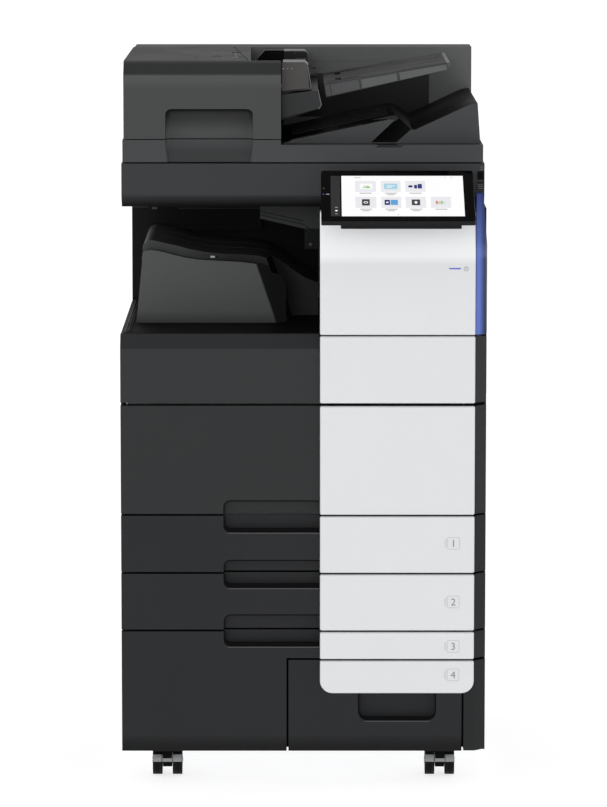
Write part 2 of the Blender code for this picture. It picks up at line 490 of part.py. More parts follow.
# Tandem drawers of the cabinet. Drawer 3 has an L-shaped front that also covers the strip above drawer 4.
tray_3 = prism("tray_3", front_outline(), "Z", (Z_BODY + 0.0005, Z_23 - GAP), DARK)
cut(tray_3, box("tray_3_step", (SPLIT_X - GAP, 0.33), (Y(-0.02), Y(0.06)), (0.0, Z_34 + GAP)),
    prism("tray_3_toe", [(Y(-0.01), 0.04), (Y(0.0040), 0.04), (Y(0.0040), 0.0700), (Y(0.0), 0.0830), (Y(-0.01), 0.0830)], "X", (-0.33, 0.33)))
join(tray_3, box("tray_3_box", (-0.2870, -0.0330), (Y(0.0200), Y(0.5300)), (0.0760, 0.2500)),
     box("tray_3_flange", (-0.2930, -0.2860), (Y(0.0300), Y(0.5300)), (0.2450, 0.2480)))
cut(tray_3, box("tray_3_inside", (-0.2840, -0.0360), (Y(FRONT_T), Y(0.5270)), (0.0790, 0.27)),
    grip_cutter("grip_3", *G3),
    box("grip_3_hook", (GRIP_X0 + 0.010, GRIP_X1 - 0.004), (Y(0.0080), Y(0.0190)), (G3[0] - 0.012, G3[0] + 0.008)))
tray_3_panel = light_panel("tray_3_panel", Z_34 + GAP, Z_23 - GAP)
tray_3_lift = box("tray_3_lift", (-0.2780, -0.0430), (Y(0.0400), Y(0.5100)), (0.0820, 0.0840), STEEL)

tray_4 = prism("tray_4", [(SPLIT_X + GAP, Y(0.0)), (SPLIT_X + GAP, Y(FRONT_T)), (POST_X - GAP, Y(FRONT_T)), (POST_X - GAP, Y(0.0))],
               "Z", (Z_BODY + 0.0005, Z_34 - GAP), DARK)
cut(tray_4, prism("tray_4_toe", [(Y(-0.01), 0.04), (Y(0.0040), 0.04), (Y(0.0040), 0.0700), (Y(0.0), 0.0830), (Y(-0.01), 0.0830)], "X", (-0.33, 0.33)))
join(tray_4, box("tray_4_box", (-0.0200, 0.2600), (Y(0.0200), Y(0.5300)), (0.0760, 0.2080)),
     box("tray_4_flange", (0.2590, 0.2660), (Y(0.0300), Y(0.5300)), (0.2030, 0.2060)))
cut(tray_4, box("tray_4_inside", (-0.0170, 0.2570), (Y(FRONT_T), Y(0.5270)), (0.0790, 0.24)),
    prism("grip_4", rounded(0.0922, 0.2242, 0.1108, 0.1850, (0.016, 0.016, 0.006, 0.006), 4), "Y", (Y(-0.02), Y(0.0190))),
    box("grip_4_hook", (0.1050, 0.2110), (Y(0.0080), Y(0.0190)), (0.0990, 0.1180)))
tray_4_panel = light_panel("tray_4_panel", 0.1594, Z_34 - GAP, (0.021, 0.021, 0, 0))
tray_4_lift = box("tray_4_lift", (-0.0100, 0.2500), (Y(0.0400), Y(0.5100)), (0.0820, 0.0840), STEEL)
for n, obs in ((1, (tray_1, tray_1_panel)), (2, (tray_2, tray_2_panel)), (3, (tray_3, tray_3_panel)), (4, (tray_4, tray_4_panel))):
    e = pivot(f"tray_{n}_slide", (0, Y_FRONT, (Z_D1, Z_12, Z_23, Z_34)[n - 1]))
    attach(e, *obs)
attach(pivot("tray_1_lift_axis", (-0.2000, Y(0.265), 0.3770)), tray_1_lift)
attach(pivot("tray_2_lift_axis", (-0.2000, Y(0.265), 0.2790)), tray_2_lift)

# ================================================================ right side
RD0, RD1, RDZ0, RDZ1 = Y(0.0750), Y(0.5200), 0.2700, 0.9400
right_door = box("right_door", (0.2860, HALF_W - 0.0005), (RD0, RD1), (RDZ0, RDZ1), DARK, 0.0015)
cut(right_door,
    box("right_door_hollow", (0.27, 0.2950), (RD0 + 0.006, RD1 - 0.012), (RDZ0 + 0.006, RDZ1 - 0.006)),
    box("bypass_recess", (0.2975, 0.32), (Y(0.1200), Y(0.4700)), (0.4200, 0.7000)))
attach(pivot("right_door_axis", (0.3040, RD1 - 0.0030, 0.605)), right_door)
bypass_tray = box("bypass_tray", (0.2985, HALF_W - 0.0010), (Y(0.1220), Y(0.4680)), (0.4235, 0.6980), DARK, 0.001)
cut(bypass_tray, box("bypass_grip", (0.3030, 0.32), (Y(0.2500), Y(0.3400)), (0.6800, 0.72)))
attach(pivot("bypass_axis", (0.3030, Y(0.295), 0.4265)), bypass_tray)

# ================================================================ casters
for fx, sx in (("left", -1), ("right", 1)):
    for fy, d in (("front", CASTER_Y0), ("rear", CASTER_Y1)):
        x, y = sx * CASTER_X, Y(d)
        yw = y + WHEEL_TRAIL
        tag = f"{fy}_{fx}"
        fork = prism(f"caster_fork_{tag}", [(y - 0.0150, 0.0460), (y - 0.0150, 0.0540), (yw + 0.0120, 0.0540)] +
                     arc(yw, WHEEL_R, 0.0285, 62, 12, 4) + arc(yw, WHEEL_R, 0.0262, 12, 62, 3)[1:] + [(yw + 0.006, 0.0508), (y - 0.008, 0.0508), (y - 0.012, 0.0440)],
                     "X", (x - 0.0245, x + 0.0245), DARKER)
        join(fork, prism(f"caster_hub_{tag}", [(y - 0.0120, 0.0520), (y - 0.0120, 0.0380), (yw - 0.0120, 0.0150), (yw + 0.0100, 0.0150),
                                               (yw + 0.0180, 0.0300), (yw + 0.0120, 0.0520)], "X", (x - 0.0078, x + 0.0078)),
             cyl(f"caster_stem_{tag}", (x, y, 0.0560), "Z", 0.0100, 0.0074, 16))
        cut(fork, cyl(f"axle_bore_{tag}", (x, yw, WHEEL_R), "X", 0.0043, 0.05, 16))
        wheels = cyl(f"caster_wheels_{tag}", (x - 0.0170, yw, WHEEL_R), "X", WHEEL_R, 0.0160, 28, RUBBER)
        join(wheels, cyl(f"caster_axle_{tag}", (x, yw, WHEEL_R), "X", 0.0040, 0.0400, 16),
             cyl(f"caster_wheel_b_{tag}", (x + 0.0170, yw, WHEEL_R), "X", WHEEL_R, 0.0160, 28))
        attach(pivot(f"caster_swivel_{tag}", (x, y, 0.0560)), fork)
        attach(pivot(f"caster_axle_axis_{tag}", (x, yw, WHEEL_R)), wheels)

# ================================================================ document feeder
AX0, AX1 = -0.3030, 0.3005
adf_base = box("adf_base", (AX0, AX1), (Y(0.030), Y(0.600)), (Z_ADF0, 1.0840), DARK)
EXIT_BED = [(-0.0330, 1.0800), (-0.0330, 1.0850), (0.1480, 1.1240), (0.1555, 1.1245), (0.1823, 1.1070), (0.1880, 1.1070), (0.2790, 1.1490),
            (0.2925, 1.1510), (0.2975, 1.0800)]
join(adf_base, prism("exit_bed", EXIT_BED, "Y", (Y(0.070), Y(0.499))),
     box("feeder_plinth", (AX0, -0.0380), (Y(0.030), Y(0.600)), (1.0830, Z_ADF_SPLIT - 0.0010)))
cut(adf_base,
    box("pad_recess", (-0.2600, 0.2500), (Y(0.105), Y(0.445)), (1.04, 1.0640)),
    prism("exit_bed_hollow", [(0.0200, 1.0600), (0.0200, 1.0900), (0.1480, 1.1180), (0.1830, 1.1010), (0.1880, 1.1010), (0.2790, 1.1430),
                              (0.2900, 1.1440), (0.2900, 1.0600)], "Y", (Y(0.180), Y(0.489))))
notch = prism("exit_notch", [(0.1134, 1.0855), (0.1537, 1.1220), (0.1600, 1.1500), (0.2000, 1.1500), (0.1815, 1.1070), (0.1560, 1.0855)], "Y", (Y(0.030), Y(0.170)))
notch.matrix_world = Matrix.Translation((0, Y(0.070), 1.0855)) @ Matrix.Rotation(math.radians(17), 4, "X") @ \
    Matrix.Translation((0, -Y(0.070), -1.0855)) @ notch.matrix_world
cut(adf_base, notch)
platen_pad = box("platen_pad", (-0.2120, 0.2460), (Y(0.110), Y(0.440)), (1.0538, 1.0635), WHITE)

# Finger recess of the feeder: deep at the top, running out to the front face at the bottom.
RX0, RX1 = -0.2313, -0.0845
recess = [(Y(-0.02), Z_ADF0 - 0.01), (Y(0.0335), Z_ADF0 - 0.01), (Y(0.0340), 1.0640), (Y(0.0370), 1.0790), (Y(0.0450), 1.0930), (Y(0.0540), 1.1080), (Y(0.0600), 1.1250), (Y(0.0620), 1.1443), (Y(-0.02), 1.1443)]


def feeder_recess(name):
    c = prism(name, recess, "X", (RX0, RX1))
    b = c.modifiers.new("round", "BEVEL")
    b.width, b.segments, b.limit_method, b.angle_limit = 0.0095, 3, "ANGLE", math.radians(60)
    return c


cut(adf_base, feeder_recess("recess_base"))

rear_outline = [(Y(0.5000), 1.0850), (Y(0.5960), 1.0850), (Y(0.5960), 1.2216), (Y(0.5940), Z_ADF1), (Y(0.5000), Z_ADF1)]
adf_rear_housing = prism("adf_rear_housing", rear_outline, "X", (-0.2990, 0.2975), DARK)
cut(adf_rear_housing, box("rear_housing_hollow", (-0.2950, 0.2935), (Y(0.504), Y(0.592)), (1.08, 1.2196)),
    box("rear_housing_step", (-0.31, -0.0360), (Y(0.48), Y(0.62)), (1.07, Z_ADF_SPLIT)))

FX_R = -0.0377
adf_feed_cover = prism("adf_feed_cover", [(Y(0.0300), Z_ADF_SPLIT + 0.0007), (Y(0.4985), Z_ADF_SPLIT + 0.0007), (Y(0.4985), Z_ADF1),
                                          (Y(0.0500), Z_ADF1), (Y(0.0300), 1.2010)], "X", (-0.3010, FX_R), DARK)
cut(adf_feed_cover,
    box("feed_cover_hollow", (-0.2970, 0.0), (Y(0.0680), Y(0.4945)), (1.06, 1.2196)),
    feeder_recess("recess_cover"))
attach(pivot("feed_cover_axis", (-0.3010, Y(0.265), Z_ADF_SPLIT + 0.0007)), adf_feed_cover)

# Feeder body under the cover, with the entry block and the slanted exit cover that show beside it.
adf_feeder = box("adf_feeder", (-0.2900, -0.0460), (Y(0.0720), Y(0.4900)), (Z_ADF_SPLIT, 1.1850), DARKER)
cut(adf_feeder, box("feeder_hollow", (-0.2850, -0.1550), (Y(0.0770), Y(0.4850)), (1.0500, 1.1800)))
cut(adf_feeder, prism("feeder_path", [(-0.1400, 1.30), (-0.1400, 1.1400), (-0.04, 1.1400), (-0.04, 1.30)], "Y", (Y(0.1480), Y(0.4220))))
join(adf_feeder,
     prism("entry_block_front", [(-0.0500, 1.1450), (-0.0500, 1.1780), (-0.0340, 1.1780), (-0.0340, 1.2200), (0.0020, 1.2200), (0.0070, 1.2150), (0.0125, 1.1780), (-0.0330, 1.1660), (-0.0330, 1.1450)],
           "Y", (Y(0.0760), Y(0.1430))),
     prism("entry_block_rear", [(-0.0500, 1.1450), (-0.0500, 1.1780), (-0.0340, 1.1780), (-0.0340, 1.2200), (0.0020, 1.2200), (0.0070, 1.2150), (0.0125, 1.1780), (-0.0330, 1.1660), (-0.0330, 1.1450)],
           "Y", (Y(0.4290), Y(0.4880))),
     prism("feeder_exit_cover", [(-0.0480, 1.1400), (-0.0340, 1.1230), (0.0250, 1.1420), (0.0295, 1.1480), (0.0245, 1.1730), (-0.0480, 1.1640)],
           "Y", (Y(0.0740), Y(0.4890))))
adf_pickup_roller = cyl("adf_pickup_roller", (-0.0900, Y(0.2850), 1.1580), "Y", 0.0140, 0.0800, 24, RUBBER)
join(adf_pickup_roller, cyl("pickup_shaft", (-0.0900, Y(0.2850), 1.1580), "Y", 0.0030, 0.2900, 16))
cut(adf_feeder, cyl("pickup_bore", (-0.0900, Y(0.2850), 1.1580), "Y", 0.0033, 0.3000, 16))
attach(pivot("pickup_axis", (-0.0900, Y(0.2850), 1.1580)), adf_pickup_roller)

# Document tray, rising to the right.
TA = math.radians(9.8)
TO = Vector((0.0345, 1.1782))
T_DIR = Vector((math.cos(TA), math.sin(TA)))
T_NRM = Vector((-math.sin(TA), math.cos(TA)))


def on_tray(s, t):
    p = TO + T_DIR * s + T_NRM * t
    return (p.x, p.y)


document_tray = prism("document_tray", [on_tray(0.0, -0.0200), on_tray(0.1950, -0.0100), on_tray(0.2130, -0.0065), on_tray(0.2175, -0.0010),
                                        on_tray(0.2150, 0.0030), on_tray(0.0, 0.0030)], "Y", (Y(0.1100), Y(0.4200)), DARK)
cut(document_tray, prism("tray_underside", [on_tray(0.006, -0.03), on_tray(0.188, -0.03), on_tray(0.188, -0.0060), on_tray(0.006, -0.0060)], "Y", (Y(0.1160), Y(0.4140))))
for i, (a, b_) in enumerate(((0.1500, 0.2150), (0.3150, 0.3800))):
    cut(document_tray, prism(f"guide_slot_{i}", [on_tray(0.020, -0.0090), on_tray(0.030, -0.0090), on_tray(0.030, 0.02), on_tray(0.020, 0.02)],
                             "Y", (Y(a), Y(b_))))


def guide(name, d, foot):
    g = prism(name, [on_tray(0.0060, 0.0036), on_tray(0.0620, 0.0036), on_tray(0.0600, 0.0150), (0.0330, 1.2150), (0.0270, 1.2215),
                     (-0.0130, 1.2215), (-0.0170, 1.2180), (-0.0170, 1.2080)],
              "Y", (Y(d), Y(d + 0.0060)), DARKER)
    join(g, prism(name + "_foot", [on_tray(0.0215, -0.0050), on_tray(0.0285, -0.0050), on_tray(0.0285, 0.0060), on_tray(0.0215, 0.0060)],
                  "Y", (Y(foot), Y(foot + 0.0060))))
    return g


document_guide_front = guide("document_guide_front", 0.1530, 0.1530)
document_guide_rear = guide("document_guide_rear", 0.3710, 0.3710)
attach(pivot("document_tray_axis", (TO.x, Y(0.265), TO.y - 0.0080)), document_tray)
attach(pivot("front_guide_slide", (*on_tray(0.025, 0)[:1], Y(0.1560), on_tray(0.025, 0)[1])), document_guide_front)
attach(pivot("rear_guide_slide", (*on_tray(0.025, 0)[:1], Y(0.3740), on_tray(0.025, 0)[1])), document_guide_rear)

# Lift hinges of the feeder: forks on the scanner, and a lug with its pin on the feeder's base.
HINGE = (Y(0.6180), 1.0640)
for side, x in (("left", -0.2150), ("right", 0.2150)):
    for k, a in (("a", x - 0.0220), ("b", x + 0.0150)):
        join(scanner_housing, prism(f"hinge_ear_{side}_{k}", [(Y(0.6080), 1.0500), (Y(0.6280), 1.0500)] + arc(*HINGE, 0.0090, 0, 180, 6), "X", (a, a + 0.0070)))
    join(adf_base, prism(f"hinge_lug_{side}", [(Y(0.5900), 1.0560)] + arc(*HINGE, 0.0080, -90, 90, 6) + [(Y(0.5900), 1.0720)], "X", (x - 0.0140, x + 0.0140)),
         cyl(f"hinge_pin_{side}", (x, *HINGE), "X", 0.0030, 0.0480, 12))
cut(scanner_housing, cyl("hinge_bore", (0, *HINGE), "X", 0.0034, 0.7000, 16))
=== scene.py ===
import math

import bmesh
import bpy
from mathutils import Matrix, Vector


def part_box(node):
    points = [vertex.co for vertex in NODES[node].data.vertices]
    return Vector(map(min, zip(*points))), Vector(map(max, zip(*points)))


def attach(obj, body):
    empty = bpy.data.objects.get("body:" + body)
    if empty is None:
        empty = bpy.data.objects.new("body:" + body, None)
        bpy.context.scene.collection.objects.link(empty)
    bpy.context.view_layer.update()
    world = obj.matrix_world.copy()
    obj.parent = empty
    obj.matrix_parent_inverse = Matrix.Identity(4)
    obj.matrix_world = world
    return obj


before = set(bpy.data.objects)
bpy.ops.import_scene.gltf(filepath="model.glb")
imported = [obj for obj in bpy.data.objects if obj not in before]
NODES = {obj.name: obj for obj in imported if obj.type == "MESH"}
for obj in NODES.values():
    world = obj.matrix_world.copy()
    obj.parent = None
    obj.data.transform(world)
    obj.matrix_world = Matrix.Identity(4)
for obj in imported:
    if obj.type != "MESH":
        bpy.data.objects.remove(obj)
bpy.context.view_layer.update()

SCENE = bpy.context.scene

# ---------------------------------------------------------------- places
Y_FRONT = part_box("upper_front_door")[0].y       # plane of the dark fronts
Y_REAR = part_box("rear_cover")[1].y
Y_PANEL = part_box("front_right_cover")[0].y      # plane of the light panels


def Y(d):
    """World Y of a point d behind the front plane."""
    return Y_FRONT + d


# The operation panel's own plane: u along X, s down the slope, t above the glass.
PA = math.radians(25.0)
P_TOP = Vector((0, Y(0.002), 1.0440))
P_MAT = Matrix.Translation(P_TOP) @ Matrix(((1, 0, 0, 0), (0, math.cos(PA), -math.sin(PA), 0),
                                            (0, math.sin(PA), math.cos(PA), 0), (0, 0, 0, 1)))
# The document tray's own plane: s up the slope, y along world Y, t above its surface.
TA = math.radians(9.8)
T_MAT = Matrix.Translation((0.0345, 0, 1.1782)) @ Matrix(((math.cos(TA), 0, -math.sin(TA), 0), (0, 1, 0, 0),
                                                         (math.sin(TA), 0, math.cos(TA), 0), (0, 0, 0, 1)))


# ---------------------------------------------------------------- finishes
def lin(*v):
    """Linear colour from 0-255 display values."""
    return tuple((c / 255 / 12.92) if c / 255 <= 0.04045 else ((c / 255 + 0.055) / 1.055) ** 2.4 for c in v)


class Finish:
    """A small helper that builds one node material."""

    def __init__(self, name):
        self.mat = bpy.data.materials.new(name)
        self.mat.use_nodes = True
        self.nt = self.mat.node_tree
        self.nt.nodes.clear()
        self.out = self.node("ShaderNodeOutputMaterial")
        self.co = self.node("ShaderNodeTexCoord").outputs["Object"]

    def node(self, kind, **props):
        n = self.nt.nodes.new(kind)
        for k, v in props.items():
            setattr(n, k, v)
        return n

    def put(self, sock, value):
        if isinstance(value, bpy.types.NodeSocket):
            self.nt.links.new(value, sock)
        elif isinstance(value, (tuple, list)) and len(value) == 3 and sock.type == "RGBA":
            sock.default_value = (*value, 1.0)
        else:
            sock.default_value = value

    def noise(self, scale, detail=2.0, rough=0.5, dist=0.0, co=None):
        n = self.node("ShaderNodeTexNoise")
        self.put(n.inputs["Vector"], co or self.co)
        self.put(n.inputs["Scale"], scale)
        self.put(n.inputs["Detail"], detail)
        self.put(n.inputs["Roughness"], rough)
        self.put(n.inputs["Distortion"], dist)
        return n.outputs["Fac"]

    def voronoi(self, scale, co=None, feature="F1", out="Distance"):
        n = self.node("ShaderNodeTexVoronoi", feature=feature)
        self.put(n.inputs["Vector"], co or self.co)
        self.put(n.inputs["Scale"], scale)
        return n.outputs[out]

    def stretch(self, sx, sy, sz):
        n = self.node("ShaderNodeMapping")
        self.put(n.inputs["Vector"], self.co)
        n.inputs["Scale"].default_value = (sx, sy, sz)
        return n.outputs["Vector"]

    def ramp(self, fac, lo, hi, a=0.0, b=1.0):
        """fac between lo and hi becomes a to b, clamped."""
        n = self.node("ShaderNodeMapRange")
        self.put(n.inputs["Value"], fac)
        for k, v in (("From Min", lo), ("From Max", hi), ("To Min", a), ("To Max", b)):
            self.put(n.inputs[k], v)
        return n.outputs["Result"]

    def math(self, op, a, b=0.0):
        n = self.node("ShaderNodeMath", operation=op)
        self.put(n.inputs[0], a)
        self.put(n.inputs[1], b)
        return n.outputs[0]

    def mix(self, fac, a, b, blend="MIX"):
        n = self.node("ShaderNodeMix", data_type="RGBA", blend_type=blend)
        self.put(n.inputs[0], fac)
        self.put(n.inputs[6], a)
        self.put(n.inputs[7], b)
        return n.outputs[2]

    def xyz(self, axis):
        n = self.node("ShaderNodeSeparateXYZ")
        self.put(n.inputs[0], self.co)
        return n.outputs[axis]

    def edges(self, radius):
        """0 on flats, 1 on convex and concave corners."""
        bev = self.node("ShaderNodeBevel", samples=4)
        bev.inputs["Radius"].default_value = radius
        geo = self.node("ShaderNodeNewGeometry")
        dot = self.node("ShaderNodeVectorMath", operation="DOT_PRODUCT")
        self.put(dot.inputs[0], bev.outputs["Normal"])
        self.put(dot.inputs[1], geo.outputs["Normal"])
        return self.ramp(dot.outputs["Value"], 0.985, 0.86)

    def bump(self, height, distance, strength=1.0, normal=None):
        n = self.node("ShaderNodeBump")
        self.put(n.inputs["Height"], height)
        n.inputs["Distance"].default_value = distance
        n.inputs["Strength"].default_value = strength
        if normal:
            self.put(n.inputs["Normal"], normal)
        return n.outputs["Normal"]

    def shader(self, colour, rough, metal=0.0, normal=None, spec=0.5, ior=1.5, coat=0.0, coat_rough=0.1,
               sheen=0.0, emit=None, emit_strength=0.0, transmission=0.0, alpha=1.0, aniso=0.0):
        b = self.node("ShaderNodeBsdfPrincipled")
        self.put(b.inputs["Base Color"], colour)
        self.put(b.inputs["Roughness"], rough)
        self.put(b.inputs["Metallic"], metal)
        b.inputs["Specular IOR Level"].default_value = spec
        b.inputs["IOR"].default_value = ior
        b.inputs["Coat Weight"].default_value = coat
        b.inputs["Coat Roughness"].default_value = coat_rough
        b.inputs["Sheen Weight"].default_value = sheen
        b.inputs["Transmission Weight"].default_value = transmission
        b.inputs["Alpha"].default_value = alpha
        b.inputs["Anisotropic"].default_value = aniso
        if emit is not None:
            self.put(b.inputs["Emission Color"], emit)
            b.inputs["Emission Strength"].default_value = emit_strength
        if normal is not None:
            self.put(b.inputs["Normal"], normal)
        self.nt.links.new(b.outputs[0], self.out.inputs["Surface"])
        return self.mat


def plastic(name, colour, rough=0.5, grain=0.00006, pitch=1500.0, mottle=0.06, wear_and_sheen=0.35, wear_and_sheen_tint=None, spec=0.5,
            coat=0.0, second=None, dust=0.0, toe=None):
    """Moulded ABS: spark-eroded grain, slight flow mottling, and paler corners that are partly wear and partly painted
    highlight.
    second is (axis, at, colour[, half width]): past that coordinate the part has another colour."""
    f = Finish(name)
    cells = f.voronoi(pitch)
    fine = f.noise(pitch * 1.9, 2.0, 0.6)
    height = f.math("ADD", f.math("MULTIPLY", cells, 0.7), f.math("MULTIPLY", fine, 0.5))
    flow = f.noise(7.0, 3.0, 0.55, 0.4)
    spots = f.noise(95.0, 2.0, 0.6)
    base = colour
    if second:
        axis, at, other = second[:3]
        half = second[3] if len(second) > 3 else 0.0001
        base = f.mix(f.ramp(f.xyz(axis), at - half, at + half), colour, other)
    shade = f.math("ADD", f.ramp(flow, 0.3, 0.7, 1 - mottle, 1 + mottle), f.ramp(spots, 0.3, 0.7, -mottle * 0.4, mottle * 0.4))
    grain_shade = f.ramp(cells, 0.0, 0.75, -mottle * 0.5, mottle * 0.5)
    shade = f.math("ADD", shade, grain_shade)
    if toe:
        z = f.xyz("Z")
        low = f.math("MULTIPLY", f.ramp(z, toe[0] - 0.0004, toe[0] + 0.0004, 0.80, 1.0), f.ramp(z, toe[1], toe[0], 0.04, 1.0))
        shade = f.math("MULTIPLY", shade, low)
    tinted = f.mix(1.0, base, shade, "MULTIPLY")
    # Paler corners: partly wear, partly painted highlight.
    edge = f.edges(0.0011)
    broken = f.math("MULTIPLY", edge, f.ramp(f.noise(260.0, 3.0, 0.7), 0.35, 0.65, 0.35, 1.0))
    amount = f.math("MULTIPLY", broken, wear_and_sheen)
    tint = wear_and_sheen_tint or tuple(min(1.0, c * 1.9 + 0.02) for c in (colour if isinstance(colour, tuple) else (0.1, 0.1, 0.1)))
    tinted = f.mix(amount, tinted, tint)
    if dust:
        up = f.node("ShaderNodeNewGeometry")
        sep = f.node("ShaderNodeSeparateXYZ")
        f.put(sep.inputs[0], up.outputs["Normal"])
        lie = f.math("MULTIPLY", f.ramp(sep.outputs["Z"], 0.6, 1.0), f.ramp(f.noise(420.0, 4.0, 0.75), 0.52, 0.72))
        tinted = f.mix(f.math("MULTIPLY", lie, dust), tinted, (0.42, 0.41, 0.39))
    r = f.math("ADD", f.ramp(flow, 0.3, 0.7, rough - 0.05, rough + 0.05), f.ramp(spots, 0.3, 0.7, -0.025, 0.025))
    r = f.math("SUBTRACT", r, f.math("MULTIPLY", broken, 0.12))
    return f.shader(tinted, r, normal=f.bump(height, grain), spec=spec, coat=coat, coat_rough=0.2)


def zoned(name, colour, part):
    """The feeder's, scanner's and exit tray's plastic, with painted light in its tone: painted shade and painted
    highlights set by height, position and how far a face turns up.
    """
    f = Finish(name)
    cells = f.voronoi(1500.0)
    fine = f.noise(2850.0, 2.0, 0.6)
    height = f.math("ADD", f.math("MULTIPLY", cells, 0.7), f.math("MULTIPLY", fine, 0.5))
    flow = f.noise(7.0, 3.0, 0.55, 0.4)
    spots = f.noise(95.0, 2.0, 0.6)
    shade = f.math("ADD", f.ramp(flow, 0.3, 0.7, 0.95, 1.05), f.ramp(spots, 0.3, 0.7, -0.02, 0.02))
    shade = f.math("ADD", shade, f.ramp(cells, 0.0, 0.75, -0.03, 0.03))
    x, y, z = (f.xyz(i) for i in ("X", "Y", "Z"))
    nrm = f.node("ShaderNodeSeparateXYZ")
    f.put(nrm.inputs[0], f.node("ShaderNodeNewGeometry").outputs["Normal"])
    up = f.ramp(nrm.outputs["Z"], 0.35, 0.75)
    if part == "exit":
        # Exit tray: painted shade behind the front lip, lighter on faces that turn up and on the bed's front face, and
        # painted shade on the front below its foot.
        face = f.math("MULTIPLY", f.ramp(y, Y(0.2132), Y(0.2136)), f.ramp(y, Y(0.2175), Y(0.2165)))
        face = f.math("MULTIPLY", face, f.ramp(x, -0.1250, -0.2100, 0.10, 1.0))
        front = f.ramp(y, Y(0.1797), Y(0.1795))
        low = f.ramp(z, 0.7690, 0.7900, 0.54, 1.0)
        shade = f.math("MULTIPLY", shade, f.math("ADD", f.math("MULTIPLY", front, low), f.math("MULTIPLY", f.math("SUBTRACT", 1.0, front), f.math("ADD", f.math("ADD", 0.18, f.math("MULTIPLY", up, 0.42)), f.math("MULTIPLY", face, 0.52)))))
    elif part == "scanner":
        # Scanner: painted shade darkening the lower front towards the bottom.
        shade = f.math("MULTIPLY", shade, f.ramp(z, 0.9830, 1.0030, 0.06, 0.98))
    else:
        # Feeder's finger recess: painted shade at its top and foot, painted highlight across its middle.
        wide = f.math("MULTIPLY", f.math("MULTIPLY", f.ramp(x, -0.2322, -0.2304), f.ramp(x, -0.0836, -0.0854)), f.ramp(z, 1.1480, 1.1450))
        recess = f.math("MULTIPLY", wide, f.math("MULTIPLY", f.ramp(y, Y(0.0308), Y(0.0325)), f.ramp(y, Y(0.0640), Y(0.0600))))
        recess_painted_light = f.math("MULTIPLY", f.ramp(z, 1.0700, 1.0990, 0.62, 1.48), f.ramp(z, 1.1060, 1.1400, 1.0, 0.08))
        shade = f.math("MULTIPLY", shade, f.math("ADD", 1.0, f.math("MULTIPLY", recess, f.math("SUBTRACT", recess_painted_light, 1.0))))
    if part == "cover":
        # Feed cover front: a painted highlight band, a painted dark band on the upper fillet, and painted shade on the
        # top.
        highlight_band = f.math("MULTIPLY", f.ramp(z, 1.1780, 1.1930), f.ramp(z, 1.2040, 1.1985))
        lip = f.math("MULTIPLY", f.ramp(z, 1.1995, 1.2030), f.ramp(z, 1.2225, 1.2190))
        front = f.ramp(y, Y(0.0560), Y(0.0500))
        tone = f.math("SUBTRACT", f.math("MULTIPLY", highlight_band, 0.30), f.math("MULTIPLY", lip, 0.46))
        shade = f.math("MULTIPLY", shade, f.math("ADD", 1.0, f.math("MULTIPLY", front, tone)))
        shade = f.math("MULTIPLY", shade, f.math("SUBTRACT", 1.0, f.math("MULTIPLY", f.ramp(nrm.outputs["Z"], 0.85, 0.95), 0.42)))
    if part == "base":
        # Feeder base: painted shade on the upward-facing bed and on a side face behind the front.
        bed = f.math("MULTIPLY", f.math("MULTIPLY", up, f.ramp(y, Y(0.0560), Y(0.0620))), f.ramp(y, Y(0.5200), Y(0.5100)))
        shade = f.math("MULTIPLY", shade, f.math("SUBTRACT", 1.0, f.math("MULTIPLY", bed, 0.90)))
        side = f.math("MULTIPLY", f.math("MULTIPLY", f.ramp(y, Y(0.2060), Y(0.2100)), f.ramp(y, Y(0.2185), Y(0.2170))), f.ramp(x, 0.1350, 0.0200))
        shade = f.math("MULTIPLY", shade, f.math("SUBTRACT", 1.0, f.math("MULTIPLY", side, 0.93)))
    tinted = f.mix(1.0, colour, shade, "MULTIPLY")
    # Paler corners: partly wear, partly painted highlight.
    edge = f.edges(0.0011)
    broken = f.math("MULTIPLY", edge, f.ramp(f.noise(260.0, 3.0, 0.7), 0.35, 0.65, 0.35, 1.0))
    tinted = f.mix(f.math("MULTIPLY", broken, 0.30), tinted, tuple(c * 1.9 + 0.02 for c in colour))
    r = f.math("ADD", f.ramp(flow, 0.3, 0.7, 0.47, 0.57), f.ramp(spots, 0.3, 0.7, -0.025, 0.025))
    r = f.math("SUBTRACT", r, f.math("MULTIPLY", broken, 0.12))
    return f.shader(tinted, r, normal=f.bump(height, 0.00006), spec=0.11)


def steel(name, colour=(0.52, 0.53, 0.55), rough=0.38, brushed=(1, 1, 1), spangle=True):
    """Zinc-plated sheet: spangle in colour and roughness, faint rolling lines."""
    f = Finish(name)
    cells = f.voronoi(55.0, out="Color") if spangle else f.noise(40.0, 3.0)
    grey = f.node("ShaderNodeRGBToBW")
    f.put(grey.inputs[0], cells)
    g = grey.outputs[0]
    lines = f.noise(1.0, 3.0, 0.6, 0.0, f.stretch(*(900.0 if b == 1 else 12.0 for b in brushed)))
    shade = f.math("ADD", f.ramp(g, 0.2, 0.8, 0.90, 1.08), f.ramp(lines, 0.3, 0.7, -0.04, 0.04))
    edge = f.math("MULTIPLY", f.edges(0.0008), 0.5)
    col = f.mix(edge, f.mix(1.0, colour, shade, "MULTIPLY"), (0.78, 0.78, 0.79))
    r = f.math("ADD", f.ramp(g, 0.2, 0.8, rough - 0.07, rough + 0.07), f.ramp(f.noise(14.0, 3.0), 0.3, 0.7, -0.04, 0.04))
    return f.shader(col, r, metal=1.0, normal=f.bump(lines, 0.00003))


def rubber(name, colour, rough=0.75, fine=2600.0):
    f = Finish(name)
    pores = f.noise(fine, 3.0, 0.7)
    large = f.noise(40.0, 3.0, 0.6)
    col = f.mix(1.0, colour, f.math("ADD", f.ramp(large, 0.3, 0.7, 0.88, 1.12), f.ramp(pores, 0.3, 0.7, -0.1, 0.1)), "MULTIPLY")
    col = f.mix(f.math("MULTIPLY", f.edges(0.0012), 0.4), col, (0.09, 0.088, 0.085))
    r = f.ramp(large, 0.3, 0.7, rough - 0.08, rough + 0.08)
    return f.shader(col, r, normal=f.bump(pores, 0.00008), spec=0.35)


